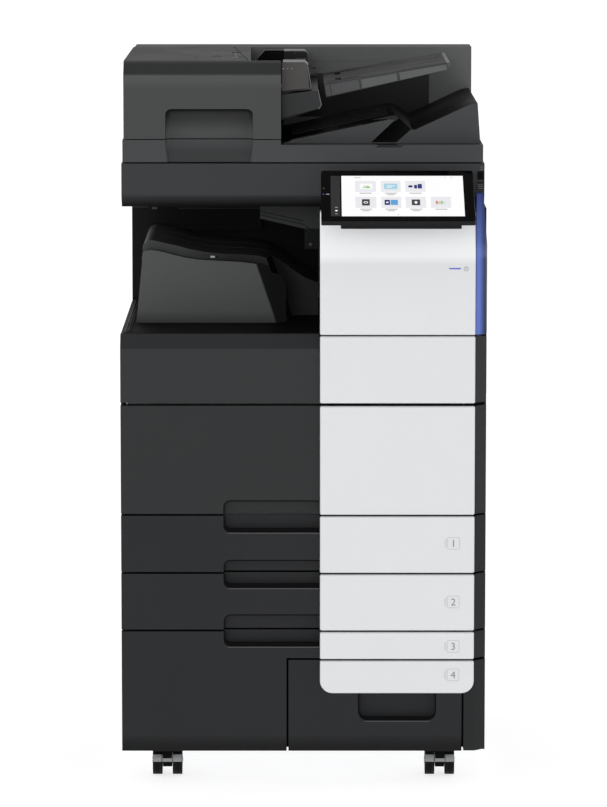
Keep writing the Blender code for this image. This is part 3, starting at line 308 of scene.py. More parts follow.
def glossy(name, colour, rough=0.08, spec=0.5, smear=0.05, coat=0.0):
    """Glass or polished black: almost smooth, with faint smears in its roughness."""
    f = Finish(name)
    smears = f.noise(1.0, 4.0, 0.6, 0.8, f.stretch(22, 60, 60))
    specks = f.noise(900.0, 2.0, 0.7)
    r = f.math("ADD", f.ramp(smears, 0.35, 0.7, rough, rough + smear), f.ramp(specks, 0.6, 0.8, 0.0, 0.05))
    col = f.mix(1.0, colour, f.ramp(smears, 0.3, 0.7, 0.95, 1.05), "MULTIPLY")
    return f.shader(col, r, normal=f.bump(f.noise(30.0, 2.0), 0.00005, 0.6), spec=spec, coat=coat, coat_rough=0.05)


def glow(name, colour, strength, body=(0.02, 0.02, 0.02), rough=0.2, vary=0.02):
    """A lit area of a display or a lamp window, with the fine grid of its diffuser."""
    f = Finish(name)
    grid = f.noise(2400.0, 1.0)
    wide = f.noise(9.0, 2.0)
    tone = f.math("ADD", f.ramp(wide, 0.3, 0.7, 1 - vary, 1.0), f.ramp(grid, 0.3, 0.7, -vary, vary))
    col = f.mix(1.0, colour, tone, "MULTIPLY")
    return f.shader(body, f.ramp(wide, 0.3, 0.7, rough - 0.03, rough + 0.03), normal=f.bump(grid, 0.00001),
                    emit=col, emit_strength=strength, spec=0.4)


def ink(name, colour, rough=0.45):
    """Printed or pad-printed mark."""
    f = Finish(name)
    n = f.noise(1800.0, 3.0, 0.7)
    col = f.mix(1.0, colour, f.ramp(n, 0.3, 0.7, 0.93, 1.07), "MULTIPLY")
    return f.shader(col, f.ramp(f.noise(200.0, 2.0), 0.3, 0.7, rough - 0.04, rough + 0.04), normal=f.bump(n, 0.00002))


# The lower door, the right-hand cover and the drawers use darker copies of the body's charcoal, as painted shade that
# deepens downward and round the right side.
BODY = plastic("body_charcoal", lin(43, 44, 45), 0.52, spec=0.16)
DOOR_LOW = plastic("lower_door_charcoal", lin(39, 40, 41), 0.52, spec=0.16)
LOWER = plastic("cabinet_charcoal", lin(29, 30, 31), 0.52, spec=0.16)
FEEDER = zoned("feeder_charcoal", lin(64, 65, 65), "cover")
FEEDER_BASE = zoned("feeder_base_charcoal", lin(63, 64, 65), "base")
# The rear wall's front face is painted lighter than the charcoal behind it, as painted light on a face that stands in
# shade; the same lighter tone colours the document tray's lighter front segments.
FEEDER_WALL = plastic("feeder_wall_charcoal", lin(88, 89, 89), 0.52, spec=0.14, second=("Y", Y(0.5018), lin(64, 65, 65)))
SCANNER = zoned("scanner_charcoal", lin(52, 53, 55), "scanner")
BAY = plastic("bay_black", lin(20, 20, 21), 0.55, grain=0.00009, pitch=1100.0, spec=0.05)
DECK = plastic("deck_charcoal", lin(30, 31, 32), 0.5, grain=0.00009, pitch=1100.0, spec=0.42)
EXIT_TRAY = zoned("exit_tray_charcoal", lin(79, 80, 80), "exit")
EXIT_UNIT = plastic("exit_unit_charcoal", lin(18, 19, 20), 0.5, spec=0.06, second=("Z", 0.9330, lin(48, 49, 50)))
BLACK = plastic("panel_black", lin(22, 22, 23), 0.45, grain=0.00004, spec=0.10)
DEEP = plastic("deep_black", lin(10, 10, 11), 0.6, spec=0.03)
WHITE = plastic("panel_white", lin(211, 212, 214), 0.42, grain=0.00003, pitch=1800.0, mottle=0.008, wear_and_sheen=0.25, wear_and_sheen_tint=lin(238, 239, 241))
# Past z 0.8945 the cover is painted lighter, as painted light on its slanted top.
COVER_WHITE = plastic("cover_white", lin(213, 214, 216), 0.42, grain=0.00003, pitch=1800.0, mottle=0.008, wear_and_sheen=0.25, wear_and_sheen_tint=lin(238, 239, 241),
                      second=("Z", 0.8945, lin(232, 233, 235), 0.0070))
TYRE_DARK = lin(13, 13, 14)
GREY = plastic("inner_grey", lin(112, 114, 117), 0.55, mottle=0.03)
# The drawers' charcoal is a darker copy of the body's, as painted shade lower down; behind the fronts it is a lighter
# grey.
TRAY_BODY = plastic("drawer_body", lin(31, 32, 34), 0.52, second=("Y", Y(0.0242), lin(88, 90, 92)), spec=0.16, toe=(0.0840, 0.0560))
FOAM = plastic("pad_foam", lin(229, 229, 225), 0.8, grain=0.00012, pitch=700.0, mottle=0.02, wear_and_sheen=0.1, spec=0.2)
ZINC = steel("zinc_sheet")
AXLE = steel("ground_shaft", (0.62, 0.62, 0.63), 0.25, (0, 1, 0), False)
ROLLER = rubber("roller_rubber", lin(58, 58, 60))
TYRE = plastic("tyre_rubber", TYRE_DARK, 0.62, grain=0.00008, pitch=1800.0, mottle=0.08, wear_and_sheen=0.12, spec=0.08)
SCREEN = glossy("screen_glass", lin(3, 3, 4), 0.03, 0.05, 0.02)
FILM = glossy("belt_film", lin(30, 28, 27), 0.22, smear=0.1)
TONERS = {"yellow": plastic("toner_yellow", lin(214, 176, 32), 0.35, mottle=0.02),
          "magenta": plastic("toner_magenta", lin(176, 30, 96), 0.35, mottle=0.02),
          "cyan": plastic("toner_cyan", lin(28, 128, 186), 0.35, mottle=0.02),
          "black": plastic("toner_black", lin(38, 38, 40), 0.35, mottle=0.04)}


def glass_finish():
    f = Finish("platen_glass")
    smears = f.noise(1.0, 4.0, 0.6, 0.8, f.stretch(14, 22, 22))
    r = f.ramp(smears, 0.35, 0.75, 0.01, 0.05)
    col = f.mix(1.0, (0.80, 0.88, 0.86), f.ramp(smears, 0.3, 0.7, 0.97, 1.0), "MULTIPLY")
    return f.shader(col, r, transmission=0.85, alpha=0.55, normal=f.bump(f.noise(9.0, 1.0), 0.000004, 0.3))


GLASS = glass_finish()


def accent_finish():
    """Translucent blue side strip: bright beside the front, with painted shade darker round the side and towards the
    top, a painted highlight band and a faint painted glow.
    """
    f = Finish("accent_blue")
    x, z = f.xyz("X"), f.xyz("Z")
    # side and top are painted shade, the lighter band is a painted highlight, and the faint emission is a painted glow.
    side = f.ramp(x, 0.2940, 0.3050)
    top = f.ramp(z, 0.90, 1.005)
    soft = f.noise(1.0, 3.0, 0.5, 0.3, f.stretch(60, 60, 9))
    grain = f.noise(2200.0, 2.0, 0.6)
    col = f.mix(side, lin(90, 109, 179), lin(6, 8, 21))
    col = f.mix(f.math("MULTIPLY", top, 0.75), col, lin(24, 28, 78))
    highlight_band = f.math("MULTIPLY", f.ramp(z, 0.895, 0.903), f.ramp(z, 0.925, 0.910))
    col = f.mix(f.math("MULTIPLY", highlight_band, 0.22), col, lin(120, 128, 178))
    col = f.mix(1.0, col, f.ramp(soft, 0.3, 0.7, 0.94, 1.06), "MULTIPLY")
    return f.shader(col, f.ramp(soft, 0.3, 0.7, 0.24, 0.32), normal=f.bump(grain, 0.00002), spec=0.10,
                    emit=col, emit_strength=0.10)


ACCENT = accent_finish()


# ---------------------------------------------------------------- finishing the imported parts
def clean_group():
    g = bpy.data.node_groups.new("clean_surface", "GeometryNodeTree")
    g.interface.new_socket("Geometry", in_out="INPUT", socket_type="NodeSocketGeometry")
    g.interface.new_socket("Geometry", in_out="OUTPUT", socket_type="NodeSocketGeometry")
    a, z = g.nodes.new("NodeGroupInput"), g.nodes.new("NodeGroupOutput")
    m = g.nodes.new("GeometryNodeMergeByDistance")
    m.inputs["Distance"].default_value = 1e-5
    r = g.nodes.new("GeometryNodeRemoveAttribute")
    r.inputs["Name"].default_value = "custom_normal"
    s = g.nodes.new("GeometryNodeSetShadeSmooth")
    g.links.new(a.outputs[0], m.inputs["Geometry"])
    g.links.new(m.outputs[0], r.inputs[0])
    g.links.new(r.outputs[0], s.inputs[0])
    g.links.new(s.outputs[0], z.inputs[0])
    return g


CLEAN = clean_group()


def dress(names, mat, width=0.0007, seg=2, angle=32, cutter=None):
    """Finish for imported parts, and the small moulding radii on their corners."""
    for name in names.split():
        o = NODES[name]
        if not o.material_slots:
            o.data.materials.append(mat)
        for s in o.material_slots:
            s.link = "OBJECT"
            s.material = mat
        m = o.modifiers.new("clean", "NODES")
        m.node_group = CLEAN
        d = o.modifiers.new("flats", "DECIMATE")
        d.decimate_type, d.angle_limit = "DISSOLVE", math.radians(0.6)
        if cutter is not None:
            c = o.modifiers.new("details", "BOOLEAN")
            c.operation, c.object, c.solver = "DIFFERENCE", cutter, "EXACT"
            c.use_self = c.use_hole_tolerant = True
        if width:
            b = o.modifiers.new("radius", "BEVEL")
            b.width, b.segments, b.limit_method = width, seg, "ANGLE"
            b.angle_limit = math.radians(angle)
            b.use_clamp_overlap = True
        w = o.modifiers.new("shading", "WEIGHTED_NORMAL")
        w.keep_sharp, w.weight = True, 60


# ---------------------------------------------------------------- building small pieces
ROT = {"X": Matrix.Rotation(math.pi / 2, 4, "Y"), "Y": Matrix.Rotation(-math.pi / 2, 4, "X"), "Z": Matrix.Identity(4)}


class Kit:
    """Gathers small solids into one named mesh piece. Solids are in the row frame, or in self.m's."""

    def __init__(self, name, *mats, m=None):
        self.name, self.mats = name, mats
        self.bm = bmesh.new()
        self.m = m or Matrix.Identity(4)

    def take(self, bm, mat=0, r=0.0, seg=2, angle=34, m=None):
        bmesh.ops.recalc_face_normals(bm, faces=bm.faces)
        if r > 0:
            edges = [e for e in bm.edges if len(e.link_faces) == 2 and e.calc_face_angle(0) > math.radians(angle)]
            bmesh.ops.bevel(bm, geom=edges, offset=r, segments=seg, profile=0.6, affect="EDGES", clamp_overlap=True)
        for f in bm.faces:
            f.material_index, f.smooth = mat, True
        bm.transform(self.m @ m if m else self.m)
        tmp = bpy.data.meshes.new("tmp")
        bm.to_mesh(tmp)
        bm.free()
        self.bm.from_mesh(tmp)
        bpy.data.meshes.remove(tmp)
        return self

    def box(self, x, y, z, r=0.0004, seg=2, mat=0, m=None):
        bm = bmesh.new()
        bmesh.ops.create_cube(bm, size=1.0, matrix=Matrix.Translation([(a[0] + a[1]) / 2 for a in (x, y, z)]) @
                              Matrix.Diagonal((x[1] - x[0], y[1] - y[0], z[1] - z[0], 1)))
        return self.take(bm, mat, r, seg, m=m)

    def prism(self, pts, axis, span, r=0.0004, seg=2, mat=0, m=None, angle=34):
        """pts are (y, z) along X, (x, z) along Y, (x, y) along Z."""
        bm = bmesh.new()
        put = {"X": lambda p, w: (w, p[0], p[1]), "Y": lambda p, w: (p[0], w, p[1]), "Z": lambda p, w: (p[0], p[1], w)}[axis]
        a = [bm.verts.new(put(p, span[0])) for p in pts]
        b = [bm.verts.new(put(p, span[1])) for p in pts]
        bm.faces.new(a)
        bm.faces.new(b[::-1])
        n = len(pts)
        for i in range(n):
            bm.faces.new((a[i], a[(i + 1) % n], b[(i + 1) % n], b[i]))
        return self.take(bm, mat, r, seg, angle, m=m)

    def cyl(self, c, axis, r, length, n=32, r2=None, b=0.0, seg=2, mat=0, m=None):
        bm = bmesh.new()
        bmesh.ops.create_cone(bm, cap_ends=True, segments=n, radius1=r, radius2=r if r2 is None else r2, depth=length,
                              matrix=Matrix.Translation(c) @ ROT[axis])
        return self.take(bm, mat, b, seg, 50, m=m)

    def turn(self, profile, c, axis, n=36, mat=0, m=None):
        """profile is a closed list of (radius, along) turned about the axis through c."""
        bm = bmesh.new()
        rings = []
        for i in range(n):
            a = 2 * math.pi * i / n
            rings.append([bm.verts.new((p[0] * math.cos(a), p[0] * math.sin(a), p[1])) for p in profile])
        k = len(profile)
        for i in range(n):
            for j in range(k):
                q = (rings[i][j], rings[(i + 1) % n][j], rings[(i + 1) % n][(j + 1) % k], rings[i][(j + 1) % k])
                if len({v.co.to_tuple(7) for v in q}) >= 3:
                    bm.faces.new(q)
        bmesh.ops.remove_doubles(bm, verts=bm.verts, dist=1e-7)
        bm.transform(Matrix.Translation(c) @ ROT[axis])
        return self.take(bm, mat, m=m)

    def ring(self, outer, inner, axis, span, r=0.0, mat=0, m=None):
        """A flat frame between two outlines that have the same number of points."""
        bm = bmesh.new()
        put = {"X": lambda p, w: (w, p[0], p[1]), "Y": lambda p, w: (p[0], w, p[1]), "Z": lambda p, w: (p[0], p[1], w)}[axis]
        loops = [[bm.verts.new(put(p, w)) for p in pts] for pts, w in ((outer, span[0]), (inner, span[0]), (inner, span[1]), (outer, span[1]))]
        n = len(outer)
        for k in range(4):
            a, b = loops[k], loops[(k + 1) % 4]
            for i in range(n):
                bm.faces.new((a[i], a[(i + 1) % n], b[(i + 1) % n], b[i]))
        return self.take(bm, mat, r, 2, m=m)

    def digit(self, text, size, centre, axis, depth, mat=0, m=None):
        """A plain numeral as a thin raised mark, facing -Y (axis Y) or up the local Z (axis Z)."""
        cu = bpy.data.curves.new("mark", "FONT")
        cu.body, cu.size, cu.extrude = text, size, depth / 2
        cu.align_x, cu.align_y = "CENTER", "CENTER"
        cu.resolution_u = 3
        ob = bpy.data.objects.new("mark", cu)
        SCENE.collection.objects.link(ob)
        bpy.context.view_layer.update()
        me = bpy.data.meshes.new_from_object(ob.evaluated_get(bpy.context.evaluated_depsgraph_get()))
        bpy.data.objects.remove(ob)
        bpy.data.curves.remove(cu)
        bm = bmesh.new()
        bm.from_mesh(me)
        bpy.data.meshes.remove(me)
        bmesh.ops.remove_doubles(bm, verts=bm.verts, dist=1e-6)
        cx = [(min(v.co[i] for v in bm.verts) + max(v.co[i] for v in bm.verts)) / 2 for i in (0, 1)]
        bm.transform(Matrix.Translation((-cx[0], -cx[1], 0)))
        bm.transform(Matrix.Translation(centre) @ (Matrix.Rotation(math.pi / 2, 4, "X") if axis == "Y" else Matrix.Identity(4)))
        return self.take(bm, mat, m=m)

    def done(self, body, sharp=38):
        me = bpy.data.meshes.new(self.name)
        bmesh.ops.remove_doubles(self.bm, verts=self.bm.verts, dist=1e-8)
        self.bm.to_mesh(me)
        self.bm.free()
        for mat in self.mats:
            me.materials.append(mat)
        me.set_sharp_from_angle(angle=math.radians(sharp))
        o = bpy.data.objects.new(self.name, me)
        SCENE.collection.objects.link(o)
        w = o.modifiers.new("shading", "WEIGHTED_NORMAL")
        w.keep_sharp, w.weight = True, 60
        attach(o, body)
        return o

    def cutter(self, body):
        o = self.done(body)
        o.modifiers.clear()
        o.hide_render = True
        o.display_type = "WIRE"
        return o


def rounded(x0, x1, z0, z1, r, n=5):
    """Outline of a rectangle with rounded corners; r is one radius or (lower left, lower right, upper right, upper left)."""
    rr = (r,) * 4 if not isinstance(r, (tuple, list)) else r
    pts = []
    for (cx, cz, a0), q in zip(((x0, z0, 180), (x1, z0, 270), (x1, z1, 0), (x0, z1, 90)), rr):
        if q <= 0:
            pts.append((cx, cz))
            continue
        ox = cx + q if cx == x0 else cx - q
        oz = cz + q if cz == z0 else cz - q
        for i in range(n + 1):
            a = math.radians(a0 + 90 * i / n)
            pts.append((ox + q * math.cos(a), oz + q * math.sin(a)))
    return pts


def circle(cx, cz, r, n=32):
    return [(cx + r * math.cos(2 * math.pi * i / n), cz + r * math.sin(2 * math.pi * i / n)) for i in range(n)]


# ================================================================ mouldings cut into the covers
def screw_places(side):
    return {"left": [(d, z) for d in (0.060, 0.350, 0.650) for z in (0.085, 0.240, 0.292)] + [(0.060, 0.735), (0.350, 0.735), (0.650, 0.735)],
            "right": [(0.640, 0.085), (0.350, 0.085), (0.060, 0.085), (0.600, 0.292), (0.660, 0.560), (0.660, 0.900), (0.560, 0.955), (0.062, 0.955)],
            "rear": [(x, z) for x in (-0.285, -0.010, 0.285) for z in (0.085, 0.242, 0.290, 0.600, 0.955)]}[side]


k = Kit("cut_left")
k.box((-0.3080, -0.3063), (Y(0.0), Y(0.70)), (0.2645, 0.2665), 0)
k.box((-0.3080, -0.3063), (Y(0.4590), Y(0.4606)), (0.2675, 0.5832), 0)
k.box((-0.3080, -0.3063), (Y(0.0), Y(0.70)), (0.5842, 0.5858), 0)
for d, z in screw_places("left"):
    k.cyl((-0.3073, Y(d), z), "X", 0.0052, 0.0030, 24)
k.prism(rounded(Y(0.240), Y(0.360), 0.4700, 0.5100, 0.012), "X", (-0.3080, -0.3049), 0)
k.prism(rounded(Y(0.240), Y(0.360), 0.1600, 0.2000, 0.012), "X", (-0.3080, -0.3049), 0)
CUT_LEFT = k.cutter("machine")

k = Kit("cut_right")
k.box((0.3063, 0.3080), (Y(0.04), Y(0.70)), (0.2560, 0.2580), 0)
k.box((0.3063, 0.3080), (Y(0.5590), Y(0.5606)), (0.2590, 0.9800), 0)
for d, z in screw_places("right"):
    k.cyl((0.3073, Y(d), z), "X", 0.0052, 0.0030, 24)
for i in range(9):
    k.prism(rounded(Y(0.590), Y(0.650), 0.6500 + 0.014 * i, 0.6560 + 0.014 * i, 0.0029), "X", (0.3020, 0.3090), 0)
CUT_RIGHT = k.cutter("machine")

k = Kit("cut_rear")
k.box((-0.31, 0.31), (Y_REAR - 0.0013, Y_REAR + 0.001), (0.2645, 0.2665), 0)
k.box((-0.0358, -0.0342), (Y_REAR - 0.0013, Y_REAR + 0.001), (0.2675, 0.5832), 0)
k.box((-0.31, 0.31), (Y_REAR - 0.0013, Y_REAR + 0.001), (0.5842, 0.5858), 0)
for x, z in screw_places("rear"):
    k.cyl((x, Y_REAR - 0.0003, z), "Y", 0.0052, 0.0030, 24)
for i in range(8):
    k.prism(rounded(0.060, 0.220, 0.8000 + 0.014 * i, 0.8060 + 0.014 * i, 0.0029), "Y", (Y_REAR - 0.010, Y_REAR + 0.01), 0)
k.prism(rounded(0.110, 0.250, 0.3200, 0.5400, 0.010), "Y", (Y_REAR - 0.0012, Y_REAR + 0.001), 0)
CUT_REAR = k.cutter("machine")

k = Kit("cut_right_door")
k.prism(rounded(Y(0.0840), Y(0.1060), 0.7600, 0.9000, 0.010), "X", (0.3000, 0.3100), 0)
for z0, z1 in ((0.2860, 0.4080), (0.7120, 0.9260)):
    k.ring(rounded(Y(0.1250), Y(0.5050), z0, z1, 0.012), rounded(Y(0.1266), Y(0.5034), z0 + 0.0016, z1 - 0.0016, 0.0108), "X", (0.3058, 0.3100))
CUT_DOOR = k.cutter("right_door")

k = Kit("cut_bypass")
k.ring(rounded(Y(0.1420), Y(0.4480), 0.4440, 0.6700, 0.010), rounded(Y(0.1436), Y(0.4464), 0.4456, 0.6684, 0.0088), "X", (0.3054, 0.3100))
CUT_BYPASS = k.cutter("bypass_tray")

k = Kit("cut_feeder_rear")
for i in range(7):
    k.prism(rounded(0.130, 0.250, 1.1300 + 0.011 * i, 1.1350 + 0.011 * i, 0.0024), "Y", (Y(0.590), Y(0.600)), 0)
for x in (-0.280, 0.0, 0.280):
    k.cyl((x, Y(0.5960), 1.1080), "Y", 0.0048, 0.0026, 24)
k.box((-0.060, -0.0586), (Y(0.5950), Y(0.600)), (1.08, 1.23), 0)
CUT_FEEDER = k.cutter("document_feeder")

k = Kit("cut_feed_cover")
k.prism(rounded(-0.1856, -0.1786, Y(0.1870), Y(0.2010), 0.0022, 4), "Z", (1.2200, 1.2300), 0)
k.prism(rounded(-0.1559, -0.1401, Y(0.1870), Y(0.2010), 0.0022, 4), "Z", (1.2200, 1.2300), 0)
k.box((-0.3020, -0.3000), (Y(0.0), Y(0.4)), (1.1600, 1.1610), 0)
k.prism([(-0.0880, Y(0.0560)), (-0.0300, Y(0.0560)), (-0.0300, Y(0.5100)), (-0.0930, Y(0.5100))], "Z", (1.1960, 1.2300), 0)
k.prism([(-0.0945, Y(0.0640)), (-0.0915, Y(0.0640)), (-0.1215, Y(0.4940)), (-0.1245, Y(0.4940))], "Z", (1.2222, 1.2300), 0)
k.prism([(-0.1230, Y(0.1400)), (-0.1010, Y(0.1400)), (-0.1110, Y(0.3200)), (-0.1230, Y(0.3200))], "Z", (1.2224, 1.2300), 0)
CUT_COVER = k.cutter("feed_cover")

k = Kit("cut_panel_corners", m=P_MAT)
for cx, sx in ((0.0290, 1), (0.2825, -1)):
    for cy, sy in ((-0.1647, 1), (0.0, -1)):
        r = 0.0068
        arc = [(cx + sx * (r - r * math.cos(math.radians(9 * i))), cy + sy * (r - r * math.sin(math.radians(9 * i)))) for i in range(11)]
        k.prism([(cx - sx * 0.002, cy - sy * 0.002), (cx - sx * 0.002, cy + sy * r)] + arc + [(cx + sx * r, cy - sy * 0.002)], "Z", (-0.0155, 0.0020), 0)
CUT_PANEL = k.cutter("operation_panel")

GUIDE_CUT = [(0.0030, 1.2400), (0.0100, 1.1960), (0.0212, 1.1945), (0.0212, 1.1800), (0.1300, 1.1990), (0.1300, 1.2400)]
k = Kit("cut_guide_front")
k.prism(GUIDE_CUT, "Y", (Y(0.1500), Y(0.1620)), 0)
CUT_GUIDE_F = k.cutter("guide_front")
k = Kit("cut_guide_rear")
k.prism(GUIDE_CUT, "Y", (Y(0.3680), Y(0.3800)), 0)
CUT_GUIDE_R = k.cutter("guide_rear")

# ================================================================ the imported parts
dress("base_pan main_frame", ZINC, 0.0003, 1)
dress("left_cover", BODY, 0.0006, cutter=CUT_LEFT)
dress("rear_cover", BODY, 0.0006, cutter=CUT_REAR)
dress("right_cover", LOWER, 0.0007, cutter=CUT_RIGHT)
dress("upper_front_door", BODY, 0.0010)
dress("lower_front_door", DOOR_LOW, 0.0010)
dress("tray_1 tray_2 tray_3 tray_4", TRAY_BODY, 0.0009)
dress("tray_1_lift tray_2_lift tray_3_lift tray_4_lift", ZINC, 0.0005)
dress("bay_liner", BAY, 0.0012)
dress("output_tray", EXIT_TRAY, 0.0016, 3)
dress("exit_unit", EXIT_UNIT, 0.0012)
dress("front_right_cover", COVER_WHITE, 0.0006)
dress("upper_door_panel lower_door_panel tray_1_panel tray_2_panel tray_3_panel tray_4_panel", WHITE, 0.0006)
dress("accent_strip", ACCENT, 0.0008, 2, 40)
dress("power_button", WHITE, 0.0006)
dress("inner_front_panel", GREY, 0.0008)
for colour, mat in TONERS.items():
    dress(f"toner_bottle_{colour}", mat, 0.0015, 3)
dress("transfer_belt_unit", FILM, 0.0010, 2, 50)
dress("fuser_roller exit_roller adf_pickup_roller", ROLLER, 0.0008, 2, 50)
dress("scanner_housing", SCANNER, 0.0010)
dress("platen_glass", GLASS, 0.0003)
dress("scan_carriage", BLACK, 0.0006)
dress("panel_housing", BLACK, 0.0009, cutter=CUT_PANEL)
dress("panel_bracket", BLACK, 0.0009)
dress("touch_screen", SCREEN, 0.0006, cutter=CUT_PANEL)
dress("right_door", BODY, 0.0007, cutter=CUT_DOOR)
dress("bypass_tray", BODY, 0.0007, cutter=CUT_BYPASS)
dress("adf_base", FEEDER_BASE, 0.0011, 3)
dress("adf_rear_housing", FEEDER_WALL, 0.0011, 3, cutter=CUT_FEEDER)
dress("adf_feed_cover", FEEDER, 0.0011, 3, cutter=CUT_COVER)
dress("adf_feeder", BLACK, 0.0008)
dress("document_tray", FEEDER_BASE, 0.0009)
dress("document_guide_front", BLACK, 0.0006, cutter=CUT_GUIDE_F)
dress("document_guide_rear", BLACK, 0.0006, cutter=CUT_GUIDE_R)
dress("platen_pad", FOAM, 0.0010)
for tag in ("front_left", "front_right", "rear_left", "rear_right"):
    dress(f"caster_fork_{tag}", DEEP, 0.0008)
    dress(f"caster_wheels_{tag}", TYRE, 0.0018, 3, 50)

# ================================================================ operation panel
UI_WHITE = glow("display_white", (1.0, 1.0, 1.0), 0.97)
UI_BAR = glow("display_sidebar", lin(38, 36, 40), 0.85, (0.004, 0.004, 0.004))
UI_TILE = glow("display_tile", lin(232, 231, 236), 1.0)
UI_TEXT = glow("display_caption", lin(168, 168, 172), 1.0)
UI = {k: glow("display_" + k, lin(*v), 1.0) for k, v in {
    "green": (150, 200, 120), "sky": (160, 208, 224), "navy": (24, 40, 110), "dark": (52, 54, 58), "blue": (84, 158, 214),
    "red": (196, 132, 128), "amber": (222, 200, 150), "soft": (206, 222, 214)}.items()}
LED_AMBER = glow("led_amber", lin(150, 96, 58), 0.5)
LED_BLUE = glow("led_blue", lin(84, 88, 206), 0.85)
LED_WHITE = glow("led_white", lin(190, 190, 192), 0.8)

k = Kit("display_layout", UI_WHITE, UI_BAR, UI_TILE, UI_TEXT, UI["green"], UI["sky"], UI["navy"], UI["dark"], UI["blue"],
        UI["red"], UI["amber"], UI["soft"], m=P_MAT)
GREEN, SKY, NAVY, DARK, BLUE, RED, AMBER, SOFT = range(4, 12)


def sheet(x0, x1, s0, s1, lvl, mat, r=0.0):
    k.prism(rounded(x0, x1, -s1, -s0, r, 4), "Z", (0.00010 + 0.00006 * lvl, 0.00022 + 0.00006 * lvl), 0.0, mat=mat)


sheet(0.0629, 0.2646, 0.0192, 0.1526, 0, 0)
sheet(0.0450, 0.0605, 0.0192, 0.1526, 0, 1)
TILES = [(0.0855, 0.1199), (0.1280, 0.1609), (0.1685, 0.2019), (0.2099, 0.2429)]
for row, (s0, s1) in enumerate(((0.0363, 0.0727), (0.0892, 0.1255))):
    for col, (x0, x1) in enumerate(TILES):
        if row == 0 and col == 3:
            continue
        sheet(x0, x1, s0, s1, 1, 2, 0.0012)
        cx = (x0 + x1) / 2
        for j, w in enumerate((0.0100, 0.0060) if (row, col) in ((0, 1), (1, 0), (1, 1), (1, 2)) else (0.0100,)):
            sheet(cx - w, cx + w, s1 + 0.0030 + 0.0052 * j, s1 + 0.0056 + 0.0052 * j, 1, 3, 0.0006)
# tile pictures: plain shapes only
cx, cs = 0.1035, 0.0545
sheet(cx - 0.0105, cx + 0.0105, cs - 0.0090, cs + 0.0090, 2, 0, 0.001)
k.prism([(cx - 0.0080, -cs - 0.0060), (cx - 0.0010, -cs + 0.0055), (cx + 0.0020, -cs - 0.0060)], "Z", (0.00028, 0.00040), 0, mat=SOFT)
k.prism([(cx - 0.0020, -cs - 0.0060), (cx + 0.0030, -cs + 0.0035), (cx + 0.0085, -cs - 0.0060)], "Z", (0.00034, 0.00046), 0, mat=GREEN)
cx = 0.1445
sheet(cx - 0.0110, cx + 0.0110, cs - 0.0090, cs + 0.0090, 2, SKY, 0.0012)
sheet(cx - 0.0070, cx + 0.0070, cs - 0.0030, cs - 0.0010, 3, 0, 0.0004)
sheet(cx - 0.0070, cx + 0.0020, cs + 0.0020, cs + 0.0040, 3, 0, 0.0004)
cx = 0.1852
k.prism(circle(cx - 0.0080, -cs, 0.0040, 20), "Z", (0.00022, 0.00034), 0, mat=NAVY)
sheet(cx - 0.0020, cx + 0.0030, cs - 0.0050, cs + 0.0070, 2, NAVY, 0.0008)
sheet(cx + 0.0040, cx + 0.0110, cs - 0.0080, cs + 0.0070, 2, NAVY, 0.0008)
cs = 0.1075
cx = 0.1027
sheet(cx - 0.0065, cx + 0.0065, cs - 0.0105, cs + 0.0105, 2, DARK, 0.0014)
k.ring(circle(cx, -cs, 0.0036, 20), circle(cx, -cs, 0.0022, 20), "Z", (0.00028, 0.00040), mat=0)
cx = 0.1445
sheet(cx - 0.0110, cx - 0.0020, cs - 0.0085, cs + 0.0085, 2, NAVY, 0.001)
sheet(cx - 0.0010, cx + 0.0110, cs - 0.0085, cs + 0.0085, 2, BLUE, 0.001)
k.prism(circle(cx - 0.0065, -cs, 0.0022, 16), "Z", (0.00028, 0.00040), 0, mat=0)
cx = 0.1852
sheet(cx - 0.0070, cx + 0.0070, cs - 0.0095, cs + 0.0095, 2, DARK, 0.0014)
k.prism([(cx - 0.0034, -cs - 0.0010), (cx, -cs + 0.0050), (cx + 0.0034, -cs - 0.0010)], "Z", (0.00028, 0.00040), 0, mat=0)
sheet(cx - 0.0012, cx + 0.0012, cs, cs + 0.0046, 3, 0)
cx = 0.2264
for j, (dx, c) in enumerate(((-0.0085, RED), (-0.0045, AMBER), (-0.0005, GREEN), (0.0035, SOFT))):
    sheet(cx + dx, cx + dx + 0.0034, cs - 0.0050 + 0.0010 * (j % 2), cs + 0.0055, 2, c, 0.0004)
# header marks and the page dot, then the sidebar's keys
for x, w in ((0.0840, 0.0110), (0.2335, 0.0018), (0.2440, 0.0030)):
    sheet(x, x + w, 0.0245, 0.0262, 1, 3, 0.0004)
k.prism(circle(0.1555, -0.1475, 0.0011, 12), "Z", (0.00016, 0.00028), 0, mat=3)
k.prism(circle(0.0540, -0.1345, 0.0022, 18), "Z", (0.00016, 0.00028), 0, mat=0)
sheet(0.0518, 0.0562, 0.1228, 0.1246, 1, 3, 0.0004)
sheet(0.0522, 0.0558, 0.1440, 0.1456, 1, 3, 0.0004)
k.done("operation_panel")

k = Kit("panel_indicators", LED_AMBER, LED_BLUE, LED_WHITE, BLACK, m=P_MAT)
k.cyl((0.0336, -0.0607, 0.0002), "Z", 0.0013, 0.0006, 20, b=0.0002, mat=0)
k.cyl((0.0330, -0.0806, 0.0002), "Z", 0.0011, 0.0006, 20, b=0.0002, mat=1)
k.prism(rounded(0.0372, 0.0429, -0.0815, -0.0797, 0.0009, 4), "Z", (0.0001, 0.0005), 0.0001, mat=2)
k.ring(rounded(0.0362, 0.0439, -0.0825, -0.0787, 0.0018, 4), rounded(0.0372, 0.0429, -0.0815, -0.0797, 0.0009, 4), "Z", (-0.0002, 0.0003), mat=3)
k.done("operation_panel")

